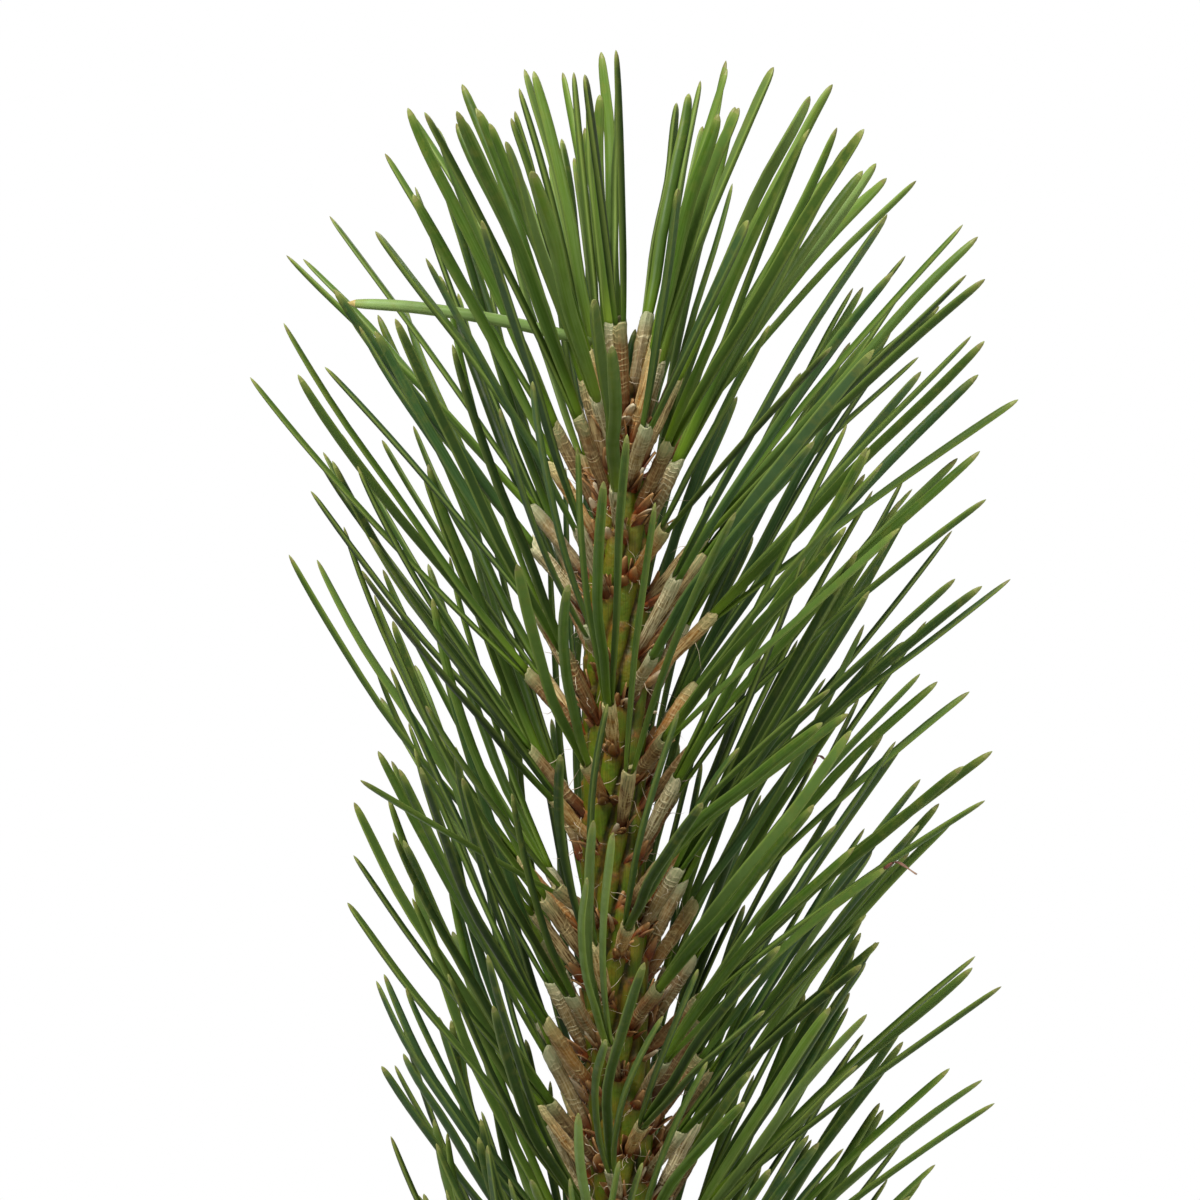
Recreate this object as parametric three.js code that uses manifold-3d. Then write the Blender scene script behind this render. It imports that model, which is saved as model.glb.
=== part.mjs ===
// A young potted ponderosa pine: one upright stem in a plain clay pot.
// Eight spiral rows of leaf cushions run up the stem. A bundle of two or three needles stands out of
// each cushion, held at its foot by a papery sheath, and a tuft of bundles crowds round the bud.
// Millimetres, +Z up, with the origin at the centre of the pot's underside. The front is -Y.

import * as THREE from "three";
import { mergeVertices } from "three/addons/utils/BufferGeometryUtils.js";
import Module from "manifold-3d";

const wasm = await Module();
wasm.setup();

// Clearance between two pieces that touch on the real plant.
const GAP = 0.3;

// Pot and potting mix.
const POT_HEIGHT = 112;
const POT_RADIUS = 64;
const POT_SHOULDER_RADIUS = 58;
const POT_FOOT_RADIUS = 43;
const POT_WALL = 6;
const POT_FLOOR = 8;
const POT_SIDES = 32;
const RIM_HEIGHT = 25;
const RIM_WALL = 10;
const ROUNDING = 1.5;
const SHOULDER = POT_HEIGHT - RIM_HEIGHT;
const DRAIN_RADIUS = 7;
const MIX_BELOW_RIM = 13;
const MIX_DOME = 2;
const MIX_FLAT_RADIUS = 16;
const GROUND = POT_HEIGHT - MIX_BELOW_RIM;

// Stem. Heights are above the ground, and each wood station is [height, radius]. The wood ends flat
// under the tuft, which has a short core of its own, its stations counted from the tuft's foot.
const STEM_HEIGHT = 215;
const TUFT_FOOT = 193.6;
const WOOD = [[0, 7.4], [2.5, 6.2], [8, 5.3], [28, 4.8], [34, 3.9], [100, 3.75], [178, 3.6], [194, 3.3]];
const WOOD_STEP = 22;
const WOOD_SIDES = 10;
const SWAY = 1.2;
const SWAY_LENGTH = 200;
const SWAY_PHASE = 154;
const SWAY_ACROSS = 0.9;
const TUFT_CORE = [[0, 3.9], [7, 3.6], [14, 2.9], [21, 2.0], [25, 1.4], [28.5, 0]];
const TUFT_SIDES = 6;

// Leaf cushions: the spiral that they follow, and the ridge that a row of them makes.
const GOLDEN_ANGLE = 2.39996323;
const FIRST_BUNDLE = 34;
const PITCH = 0.9;
const ROWS = 8;
const ROW_MEMBERS = [7, 7, 8];
const STOREYS = ["low", "mid", "high"];
const TUFT_BUNDLES = 23;
const TUFT_FIRST = 195;
const TUFT_PITCH = 0.8;
const SPIRAL_START = 6.2;
const RIDGE_FOOT = 0.5;
const RIDGE_CREST = 1.35;
const RIDGE_WIDTH = 2.9;
const RIDGE_CREST_WIDTH = 1.9;
const RIDGE_STEP = 10;

// One bundle in three is left to finer models of the plant.
const THINNING = 3;
const THINNED = 2;

// Needle bundles. Angles are in radians, and lengths run from the sheath's mouth to the tip. The
// angle from upright, the length and the outward curl change with the distance below the bud.
const CUSHION_ROOT = 0.75;
const TUFT_ROOT = 0.9;
const SHEATH_LENGTH = 15.5;
const SHEATH_FOOT_RADIUS = 0.6;
const SHEATH_RADIUS = 1.35;
const SHEATH_SIDES = 5;
const ANGLES = [[0, 0.13], [5, 0.3], [12, 0.43], [25, 0.55], [60, 0.56], [110, 0.48], [180, 0.42]];
const LENGTHS = [[0, 41], [15, 54], [35, 60], [60, 60], [100, 57], [180, 50]];
const CURLS = [[0, 0], [6, 0.04], [15, 0.04], [40, 0], [80, -0.03], [180, -0.05]];
const NEEDLE_SINK = 1.6;
const NEEDLE_OFFSET = 0.5;
const NEEDLE_HALF_WIDTH = 0.95;
const NEEDLE_BACK = 0.3;
const NEEDLE_KEEL = 0.58;
const NEEDLE_STATIONS = [[0, 0.62], [0.62, 1], [1, 0]];
const PAIR_SHARE = 0.38;

// How far the crown heels over towards +X, and opens towards the front, both in radians.
const HEEL = 0.03;
const SPLAY = 0.38;

// How far needles bend towards +X at their tips, as a share of their length, by the distance below
// the bud.
const SWEEPS = [[0, 0], [25, 0.03], [60, 0.075], [100, 0.09], [180, 0.09]];

// The crown's greatest radius. A needle that would reach past it is shortened.
const CROWN_RADIUS = 62;

// How far single bundles and needles stray from the rule.
const ANGLE_RANGE = [-0.2, 0.2];
const LEAN_RANGE = [-0.1, 0.1];
const SHEATH_RANGE = [0.9, 1.1];
const LENGTH_RANGE = [0.86, 1.1];
const OWN_LENGTH_RANGE = [0.92, 1.04];
const CURL_RANGE = [-0.07, 0.07];
const SWING_RANGE = [-0.05, 0.05];
const SPREAD_RANGE = [0.03, 0.11];
const WAVE_RANGE = [-0.025, 0.025];

// Clearance rule between bundles.
const NEEDLE_REACH = 1.0;
const SHEATH_MIDDLE = 0.45;
const SHEATH_LOWER_SHARE = 0.72;
const CLEARANCE = 0.15;
const TUFT_EASE = 0.62;
const TRIES = 14;
const SEED = 20;

// Random numbers that come out alike in any language: one stream for each bundle.
function stream(key) {
  let state = ((key * 48271 + SEED * 7919) % 2147483646) + 1;
  const next = () => {
    state = (state * 16807) % 2147483647;
    return state / 2147483647;
  };
  next();
  next();
  return (low, high) => low + (high - low) * next();
}

// The value at x on a line of [x, value] stations.
function along(stations, x) {
  let i = 1;
  while (i < stations.length - 1 && stations[i][0] < x) i += 1;
  const [x0, v0] = stations[i - 1];
  const [x1, v1] = stations[i];
  const share = Math.min(1, Math.max(0, (x - x0) / (x1 - x0)));
  return v0 + (v1 - v0) * share;
}

// The stem's centre at a height, where it sways a little off the plumb line.
function stemCentre(height) {
  const wave = (2 * Math.PI) / SWAY_LENGTH;
  const x = SWAY * (Math.cos(wave * SWAY_PHASE) - Math.cos(wave * (height - SWAY_PHASE)));
  const y = SWAY_ACROSS * Math.sin((Math.PI * height) / STEM_HEIGHT);
  return new THREE.Vector3(x, y, GROUND + height);
}

// The point at a radius and an azimuth round the stem.
function roundStem(height, radius, azimuth) {
  const out = new THREE.Vector3(Math.cos(azimuth), Math.sin(azimuth), 0);
  return stemCentre(height).addScaledVector(out, radius);
}

// A geometry with only its positions, its shared vertices merged.
function closed(geometry) {
  const bare = new THREE.BufferGeometry();
  bare.setAttribute("position", geometry.getAttribute("position"));
  if (geometry.index) bare.setIndex(geometry.index);
  return mergeVertices(bare, 1e-4);
}

// A closed geometry as a solid that can be joined and cut.
function solid(geometry) {
  const merged = closed(geometry);
  return new wasm.Manifold(
    new wasm.Mesh({
      numProp: 3,
      vertProperties: new Float32Array(merged.attributes.position.array),
      triVerts: new Uint32Array(merged.index.array),
    }),
  );
}

// A solid's geometry, with any hollow that joining has sealed filled and any loose scrap dropped.
function geometryOf(joined) {
  const bodies = joined.decompose().filter((body) => body.volume() > 0);
  bodies.sort((a, b) => b.volume() - a.volume());
  const mesh = bodies[0].getMesh();
  const geometry = new THREE.BufferGeometry();
  const positions = new Float32Array(mesh.numVert * 3);
  for (let i = 0; i < mesh.numVert; i += 1) {
    const at = i * mesh.numProp;
    positions.set(mesh.vertProperties.subarray(at, at + 3), i * 3);
  }
  geometry.setAttribute("position", new THREE.BufferAttribute(positions, 3));
  geometry.setIndex(new THREE.BufferAttribute(new Uint32Array(mesh.triVerts), 1));
  return geometry;
}

// A closed body of revolution about +Z from [radius, height] pairs.
function turned(outline, sides) {
  const points = outline.map(([radius, height]) => new THREE.Vector2(radius, height));
  return new THREE.LatheGeometry(points, sides).rotateX(Math.PI / 2);
}

// A tapering limb: the ring of a cylinder at each station, set on the limb by place(station, corner).
// A last station with no width is a point.
function limb(sides, stations, place, pointed) {
  const tube = new THREE.CylinderGeometry(pointed ? 0 : 1, 1, 1, sides, stations - 1);
  const position = tube.getAttribute("position");
  for (let i = 0; i < position.count; i += 1) {
    const share = position.getY(i) + 0.5;
    const station = Math.round(share * (stations - 1));
    const x = position.getX(i);
    const z = position.getZ(i);
    const onAxis = Math.hypot(x, z) < 1e-6;
    const turn = Math.atan2(x, z);
    const corner = Math.round((turn / (2 * Math.PI)) * sides + sides) % sides;
    const point = place(station, onAxis ? -1 : corner);
    position.setXYZ(i, point.x, point.y, point.z);
  }
  return closed(tube);
}

// The stem's wood, from the flat cut at the ground to the flat top under the tuft.
function woodGeometry() {
  const top = TUFT_FOOT - GAP;
  const heights = [GAP];
  for (const [height] of WOOD.slice(1)) {
    const end = Math.min(height, top);
    const start = heights.at(-1);
    const steps = Math.ceil((end - start) / WOOD_STEP);
    for (let k = 1; k <= steps; k += 1) heights.push(start + ((end - start) * k) / steps);
  }
  return limb(WOOD_SIDES, heights.length, (station, corner) => {
    const height = heights[station];
    const radius = corner < 0 ? 0 : along(WOOD, height);
    return roundStem(height, radius, (2 * Math.PI * corner) / WOOD_SIDES);
  });
}

// The tuft's own short stem, with the bud as its point.
function tuftCore() {
  return limb(
    TUFT_SIDES,
    TUFT_CORE.length,
    (station, corner) => {
      const [rise, radius] = TUFT_CORE[station];
      const turn = (2 * Math.PI * corner) / TUFT_SIDES;
      return roundStem(TUFT_FOOT + rise, corner < 0 ? 0 : radius, turn);
    },
    true,
  );
}

// Where bundle number i stands on its spiral.
const ROW_BUNDLES = ROWS * ROW_MEMBERS.reduce((sum, count) => sum + count, 0);

function heightOf(i) {
  if (i < ROW_BUNDLES) return FIRST_BUNDLE + PITCH * i;
  return TUFT_FIRST + TUFT_PITCH * (i - ROW_BUNDLES);
}

function azimuthOf(i) {
  return (SPIRAL_START + GOLDEN_ANGLE * i) % (2 * Math.PI);
}

// The needle mass that bundle number i belongs to.
function massOf(i) {
  if (i >= ROW_BUNDLES) return "leader_tuft";
  let storey = 0;
  let member = Math.floor(i / ROWS);
  while (member >= ROW_MEMBERS[storey]) {
    member -= ROW_MEMBERS[storey];
    storey += 1;
  }
  return `needles_${STOREYS[storey]}_${(i % ROWS) + 1}`;
}

// The ridge of cushions that carries members first to last of a row, wrapped round the wood.
function ridgeGeometry(first, last) {
  const half = (ROWS * PITCH) / 2;
  const isTop = last >= ROW_BUNDLES - ROWS;
  const bottom = heightOf(first) - half + GAP / 2;
  const top = isTop ? TUFT_FOOT - GAP : heightOf(last) + half - GAP / 2;
  const twist = ((GOLDEN_ANGLE * ROWS) % (2 * Math.PI)) / (ROWS * PITCH);
  const steps = Math.ceil((top - bottom) / RIDGE_STEP);
  const corners = [
    [RIDGE_FOOT, -RIDGE_WIDTH / 2],
    [RIDGE_CREST, -RIDGE_CREST_WIDTH / 2],
    [RIDGE_CREST, RIDGE_CREST_WIDTH / 2],
    [RIDGE_FOOT, RIDGE_WIDTH / 2],
  ];
  return limb(corners.length, steps + 1, (station, corner) => {
    const height = bottom + ((top - bottom) * station) / steps;
    const wood = along(WOOD, height);
    const centre = azimuthOf(first) + twist * (height - heightOf(first));
    if (corner < 0) return roundStem(height, wood + (RIDGE_FOOT + RIDGE_CREST) / 2, centre);
    const [rise, aside] = corners[corner];
    return roundStem(height, wood + rise, centre + aside / (wood + rise));
  });
}

// A needle's length, shortened where its tip would stand out past the crown's radius.
function trimmed(start, course, length) {
  const tip = start.clone().addScaledVector(course, length);
  return length / Math.max(1, Math.hypot(tip.x, tip.y) / CROWN_RADIUS);
}

// Draws one bundle: its sheath's foot and mouth, and each needle's line and the way its back faces.
function drawBundle(i, draw) {
  const height = heightOf(i);
  const azimuth = azimuthOf(i);
  const below = STEM_HEIGHT - height;
  const inTuft = i >= ROW_BUNDLES;
  const out = new THREE.Vector3(Math.cos(azimuth), Math.sin(azimuth), 0);
  const side = new THREE.Vector3(-Math.sin(azimuth), Math.cos(azimuth), 0);
  const forward = Math.max(0, -Math.sin(azimuth));
  const facing = HEEL * Math.cos(azimuth) + SPLAY * forward * forward;
  const angle = along(ANGLES, below) + draw(...ANGLE_RANGE) + facing;
  const lean = draw(...LEAN_RANGE);
  const axis = new THREE.Vector3(0, 0, Math.cos(angle));
  axis.addScaledVector(out, Math.sin(angle)).addScaledVector(side, lean).normalize();
  const across = side.clone().addScaledVector(axis, -axis.dot(side)).normalize();
  const inner = new THREE.Vector3().crossVectors(axis, across);

  const core = inTuft ? along(TUFT_CORE, height - TUFT_FOOT) : along(WOOD, height);
  const footRadius = inTuft ? Math.max(0, core - TUFT_ROOT) : core + CUSHION_ROOT;
  const foot = roundStem(height, footRadius, azimuth);
  const sheathLength = SHEATH_LENGTH * draw(...SHEATH_RANGE);
  const mouth = foot.clone().addScaledVector(axis, sheathLength);

  const count = draw(0, 1) < PAIR_SHARE ? 2 : 3;
  const turn = draw(0, 2 * Math.PI);
  const length = along(LENGTHS, below) * draw(...LENGTH_RANGE);
  const curl = along(CURLS, below) + draw(...CURL_RANGE);
  const swing = draw(...SWING_RANGE);
  const needles = [];
  for (let k = 0; k < count; k += 1) {
    const spoke = turn + (2 * Math.PI * k) / count;
    const back = across.clone().multiplyScalar(Math.cos(spoke)).addScaledVector(inner, Math.sin(spoke));
    const spread = draw(...SPREAD_RANGE);
    const whole = length * draw(...OWN_LENGTH_RANGE);
    const start = mouth.clone().addScaledVector(axis, -NEEDLE_SINK).addScaledVector(back, NEEDLE_OFFSET);
    const heading = axis.clone().addScaledVector(back, Math.tan(spread)).normalize();
    const bend = inner.clone().multiplyScalar(draw(...WAVE_RANGE) - curl);
    bend.addScaledVector(across, draw(...WAVE_RANGE) + swing);
    bend.x += along(SWEEPS, below);
    const own = trimmed(start, heading.clone().add(bend), whole);
    const line = NEEDLE_STATIONS.map(([share]) => {
      const point = start.clone().addScaledVector(heading, own * share);
      return point.addScaledVector(bend, own * share * share);
    });
    needles.push({ line, back });
  }
  return { mass: massOf(i), inTuft, foot, mouth, across, inner, turn, needles };
}

// The shortest distance between two straight stretches.
function distanceBetween(p1, q1, p2, q2) {
  const d1 = q1.clone().sub(p1);
  const d2 = q2.clone().sub(p2);
  const r = p1.clone().sub(p2);
  const a = d1.dot(d1);
  const e = d2.dot(d2);
  const f = d2.dot(r);
  const c = d1.dot(r);
  const b = d1.dot(d2);
  const denominator = a * e - b * b;
  const clamp = (x) => Math.min(1, Math.max(0, x));
  let s = denominator > 1e-9 ? clamp((b * f - c * e) / denominator) : 0;
  let t = (b * s + f) / e;
  if (t < 0) {
    t = 0;
    s = clamp(-c / a);
  } else if (t > 1) {
    t = 1;
    s = clamp((b - c) / a);
  }
  const near = p1.clone().addScaledVector(d1, s);
  return near.distanceTo(p2.clone().addScaledVector(d2, t));
}

// The straight stretches that a bundle's sheath, or one of its needles, takes up.
function sheathStretches(bundle) {
  const { foot, mouth, inTuft } = bundle;
  const middle = foot.clone().lerp(mouth, SHEATH_MIDDLE);
  return [
    { p: foot, q: middle, reach: SHEATH_RADIUS * SHEATH_LOWER_SHARE, inTuft },
    { p: middle, q: mouth, reach: SHEATH_RADIUS, inTuft },
  ];
}

function needleStretches(bundle, needle) {
  const { inTuft } = bundle;
  return needle.line.slice(1).map((q, k) => ({ p: needle.line[k], q, reach: NEEDLE_REACH, inTuft }));
}

// The stretches that the tuft's own stem takes up.
function coreStretches() {
  return TUFT_CORE.slice(1).map(([rise, radius], k) => {
    const [below, reach] = TUFT_CORE[k];
    const p = stemCentre(TUFT_FOOT + below + reach / 2);
    const q = stemCentre(TUFT_FOOT + Math.max(rise - radius / 2, below + reach / 2 + 1));
    return { p, q, reach, inTuft: true };
  });
}

// Whether stretches keep clear of what has grown already. Bundles of the tuft may crowd each other.
function isClear(stretches, grown) {
  for (const own of stretches)
    for (const other of grown) {
      const ease = own.inTuft && other.inTuft ? TUFT_EASE : 1;
      const least = (own.reach + other.reach + CLEARANCE) * ease;
      if (distanceBetween(own.p, own.q, other.p, other.q) < least) return false;
    }
  return true;
}

// Grows the bundles from the bud down. Each is drawn again until it all keeps clear, and after the
// last try the needles that don't are skipped.
function growBundles() {
  const core = coreStretches();
  const grown = [];
  const bundles = [];
  for (let i = ROW_BUNDLES + TUFT_BUNDLES - 1; i >= 0; i -= 1) {
    if (i % THINNING === THINNED) continue;
    const draw = stream(i);
    let best = null;
    for (let attempt = 0; attempt < TRIES; attempt += 1) {
      const bundle = drawBundle(i, draw);
      if (!isClear(sheathStretches(bundle), grown)) continue;
      if (!bundle.inTuft && !isClear(sheathStretches(bundle), core)) continue;
      bundle.clear = bundle.needles.filter((needle) => isClear(needleStretches(bundle, needle), grown));
      if (!best || bundle.clear.length > best.clear.length) best = bundle;
      if (best.clear.length === best.needles.length) break;
    }
    if (!best || !best.clear.length) continue;
    grown.push(...sheathStretches(best));
    for (const needle of best.clear) grown.push(...needleStretches(best, needle));
    bundles.push(best);
  }
  return bundles;
}

// A bundle's sheath, a six-sided cone with its mouth cut square.
function sheathGeometry(bundle) {
  const ends = [[bundle.foot, SHEATH_FOOT_RADIUS], [bundle.mouth, SHEATH_RADIUS]];
  return limb(SHEATH_SIDES, ends.length, (station, corner) => {
    const [centre, radius] = ends[station];
    if (corner < 0) return centre.clone();
    const spoke = bundle.turn + (2 * Math.PI * corner) / SHEATH_SIDES;
    const point = centre.clone().addScaledVector(bundle.across, radius * Math.cos(spoke));
    return point.addScaledVector(bundle.inner, radius * Math.sin(spoke));
  });
}

// A needle: a three-sided blade with its keel towards the bundle's axis, drawn out to a point.
function needleGeometry(needle) {
  const { line, back } = needle;
  const profile = [
    [-NEEDLE_KEEL, 0],
    [NEEDLE_BACK, -NEEDLE_HALF_WIDTH],
    [NEEDLE_BACK, NEEDLE_HALF_WIDTH],
  ];
  return limb(
    profile.length,
    NEEDLE_STATIONS.length,
    (station, corner) => {
      if (corner < 0) return line[station].clone();
      const before = line[Math.max(0, station - 1)];
      const after = line[Math.min(line.length - 1, station + 1)];
      const heading = after.clone().sub(before).normalize();
      const facing = back.clone().addScaledVector(heading, -heading.dot(back)).normalize();
      const aside = new THREE.Vector3().crossVectors(heading, facing);
      const size = NEEDLE_STATIONS[station][1];
      const [depth, width] = profile[corner];
      const point = line[station].clone().addScaledVector(facing, depth * size);
      return point.addScaledVector(aside, width * size);
    },
    true,
  );
}

// Materials, from the photograph.
const CLAY = new THREE.MeshStandardMaterial({ color: 0xb0643f, roughness: 0.9, metalness: 0 });
const MIX = new THREE.MeshStandardMaterial({ color: 0x3a2a1e, roughness: 1, metalness: 0 });
const BARK = new THREE.MeshStandardMaterial({ color: 0x6f6a2c, roughness: 0.75, metalness: 0 });
const NEEDLES = new THREE.MeshStandardMaterial({ color: 0x4a6b32, roughness: 0.5, metalness: 0 });

function named(name, geometry, material) {
  const mesh = new THREE.Mesh(geometry, material);
  mesh.name = name;
  return mesh;
}

// The outside of the pot's body at a height, between its foot and the shoulder under its rim.
function potRadius(height) {
  return along([[0, POT_FOOT_RADIUS], [SHOULDER, POT_SHOULDER_RADIUS]], height);
}

// The pot's inner wall, as [height, radius] stations from its floor to its brim.
const INNER_WALL = [
  [POT_FLOOR, potRadius(POT_FLOOR) - POT_WALL],
  [SHOULDER, POT_SHOULDER_RADIUS - POT_WALL],
  [POT_HEIGHT - ROUNDING, POT_RADIUS - RIM_WALL],
];

function makePot() {
  const inside = INNER_WALL.map(([height, radius]) => [radius, height]).reverse();
  const outline = [
    [DRAIN_RADIUS, 0],
    [POT_FOOT_RADIUS - ROUNDING, 0],
    [potRadius(0), ROUNDING],
    [POT_SHOULDER_RADIUS, SHOULDER],
    [POT_RADIUS - ROUNDING, SHOULDER],
    [POT_RADIUS - ROUNDING / 2, SHOULDER + ROUNDING],
    [POT_RADIUS, POT_HEIGHT - ROUNDING],
    [POT_RADIUS - ROUNDING, POT_HEIGHT],
    [POT_RADIUS - RIM_WALL + ROUNDING, POT_HEIGHT],
    ...inside,
    [DRAIN_RADIUS, POT_FLOOR],
    [DRAIN_RADIUS, 0],
  ];
  return named("pot", turned(outline, POT_SIDES), CLAY);
}

function makeMix() {
  const clearOfWall = 2 * GAP;
  const edgeHeight = GROUND - MIX_DOME;
  const edge = along(INNER_WALL, edgeHeight) - clearOfWall;
  const outline = [
    [0, POT_FLOOR + GAP],
    [potRadius(POT_FLOOR) - POT_WALL - clearOfWall, POT_FLOOR + GAP],
    [POT_SHOULDER_RADIUS - POT_WALL - clearOfWall, SHOULDER],
    [edge, edgeHeight],
    [(edge + MIX_FLAT_RADIUS) / 2, GROUND - MIX_DOME / 3],
    [MIX_FLAT_RADIUS, GROUND],
    [0, GROUND],
  ];
  return named("potting_mix", turned(outline, POT_SIDES), MIX);
}

// Each needle mass is a ridge of cushions, or the tuft's core, with its bundles joined on.
function makeMasses() {
  const bundles = growBundles();
  const masses = new Map();
  for (let row = 0; row < ROWS; row += 1) {
    let member = 0;
    for (const count of ROW_MEMBERS) {
      const first = row + ROWS * member;
      const last = first + ROWS * (count - 1);
      masses.set(massOf(first), [solid(ridgeGeometry(first, last))]);
      member += count;
    }
  }
  masses.set("leader_tuft", [solid(tuftCore())]);
  for (const bundle of bundles) {
    const pieces = masses.get(bundle.mass);
    pieces.push(solid(sheathGeometry(bundle)));
    for (const needle of bundle.clear) pieces.push(solid(needleGeometry(needle)));
  }
  return [...masses].map(([name, pieces]) =>
    named(name, geometryOf(wasm.Manifold.union(pieces)), NEEDLES),
  );
}

const pine = new THREE.Group();
pine.add(makePot(), makeMix(), named("stem", woodGeometry(), BARK), ...makeMasses());

export default pine;
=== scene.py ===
"""A young ponderosa pine in a plain clay pot, dressed for its picture.

The needle bundles grow by the same rule as the solids that they replace. Of the third of them that the
solids leave out, those in the tuft and some below it grow here too, and so do four more at the tuft's
heart. Lengths are millimetres until a mesh is made, and Blender's own objects are in metres. The front is
-Y, and the stem stands on the middle of the pot.
"""

from __future__ import annotations

import logging
import math
from dataclasses import dataclass, field
from enum import Enum

import bmesh
import bpy
import numpy as np
from mathutils import Matrix, Vector, noise

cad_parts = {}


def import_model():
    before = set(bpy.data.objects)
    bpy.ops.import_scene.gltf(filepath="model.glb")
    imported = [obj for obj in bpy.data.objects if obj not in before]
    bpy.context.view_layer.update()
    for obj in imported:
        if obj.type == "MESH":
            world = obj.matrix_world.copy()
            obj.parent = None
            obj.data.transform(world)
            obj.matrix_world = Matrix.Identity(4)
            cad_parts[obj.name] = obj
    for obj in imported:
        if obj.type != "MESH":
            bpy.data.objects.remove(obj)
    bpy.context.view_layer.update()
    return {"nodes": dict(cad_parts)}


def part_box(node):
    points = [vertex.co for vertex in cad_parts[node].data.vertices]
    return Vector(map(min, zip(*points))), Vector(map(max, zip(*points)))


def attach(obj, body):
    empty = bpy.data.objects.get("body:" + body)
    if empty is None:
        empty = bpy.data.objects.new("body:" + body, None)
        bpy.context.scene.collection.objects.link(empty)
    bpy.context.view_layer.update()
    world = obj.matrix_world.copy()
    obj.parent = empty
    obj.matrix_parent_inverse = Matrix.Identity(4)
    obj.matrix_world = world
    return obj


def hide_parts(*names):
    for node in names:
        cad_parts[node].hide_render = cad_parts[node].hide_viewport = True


log = logging.getLogger("pine")

Array = np.ndarray
Colour = tuple[int, int, int]
Place = tuple[float, float, float]
Range = tuple[float, float]
Strip = tuple[int, int]
Chance = np.random.Generator
Socket = bpy.types.NodeSocket
Stretch = tuple[Array, Array, float]

MM = 0.001
TURN = 2 * math.pi
UP = np.array([0.0, 0.0, 1.0])
UV_MAP = "OFBake"


def linear(colour: Colour) -> tuple[float, float, float, float]:
    """Turn a colour as it is seen into a shader's linear colour.

    Args:
        colour: Red, green and blue from 0 to 255.

    Returns:
        Linear red, green and blue with an alpha of one.
    """
    parts = [c / 255 for c in colour]
    red, green, blue = [p / 12.92 if p <= 0.04045 else ((p + 0.055) / 1.055) ** 2.4 for p in parts]
    return red, green, blue, 1.0


def unit(vectors: Array) -> Array:
    """Scale vectors, one or many in rows, to length one."""
    return vectors / np.linalg.norm(vectors, axis=-1, keepdims=True)


def smooth(low: float, high: float, x: Array) -> Array:
    """Rise softly from 0 at low to 1 at high."""
    share = np.clip((x - low) / (high - low), 0, 1)
    return share * share * (3 - 2 * share)


def spin(count: int) -> Array:
    """Give evenly spaced angles round a full turn."""
    return TURN * np.arange(count) / count


def upright(way: Array, out: Array) -> tuple[Array, Array]:
    """Give the two axes square to a line's ways, the first turned to face out as far as it can."""
    facing = unit(out - way * (way @ out)[:, None])
    return facing, np.cross(way, facing)


def swept(line: Array, first: Array, second: Array, section: Array, size: Array) -> Array:
    """Set a section, whose rows count along the axes first and second, round each point of a line."""
    offsets = section[:, :1] * first[:, None, :] + section[:, 1:] * second[:, None, :]
    return line[:, None, :] + offsets * size[:, None, None]


def wire(line: Array, hint: Array, section: Array, size: Array) -> Array:
    """Set a section along a free line, whose axes follow from a hint.

    Args:
        line: The line's points.
        hint: A way that the first axis is square to.
        section: The section's points, in rows of two.
        size: The section's scale at each point.

    Returns:
        Rings of points.
    """
    heading = unit(np.gradient(line, axis=0))
    first = unit(np.cross(heading, hint))
    return swept(line, first, np.cross(heading, first), section, size)


def oval(count: int, squash: float = 1.0) -> Array:
    """Give the points of an oval of half-width one, in rows of two."""
    return np.stack([np.cos(spin(count)), np.sin(spin(count)) * squash], 1)


@dataclass(frozen=True)
class Stations:
    """A value that is given at a few places and runs straight between them."""

    places: tuple[float, ...]
    values: tuple[float, ...]

    def at(self, place: float | Array) -> float | Array:
        """Read the value at a place."""
        return np.interp(place, self.places, self.values)


class Draws:
    """A stream of random numbers that the part's source draws in the same order."""

    SEED, SEED_STEP, KEY_STEP = 20, 7919, 48271
    FACTOR, MODULUS = 16807, 2147483647

    def __init__(self, key: int) -> None:
        """Start the stream of one bundle.

        Args:
            key: The bundle's number on the spiral.
        """
        self.state = (key * self.KEY_STEP + self.SEED * self.SEED_STEP) % (self.MODULUS - 1) + 1
        self.step()
        self.step()

    def step(self) -> float:
        """Move on by one number and return it, between 0 and 1."""
        self.state = self.state * self.FACTOR % self.MODULUS
        return self.state / self.MODULUS

    def between(self, low: float, high: float) -> float:
        """Draw a number between two limits."""
        return low + (high - low) * self.step()

    def within(self, limit: float) -> float:
        """Draw a number that is off zero by a limit at most."""
        return self.between(-limit, limit)


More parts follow.
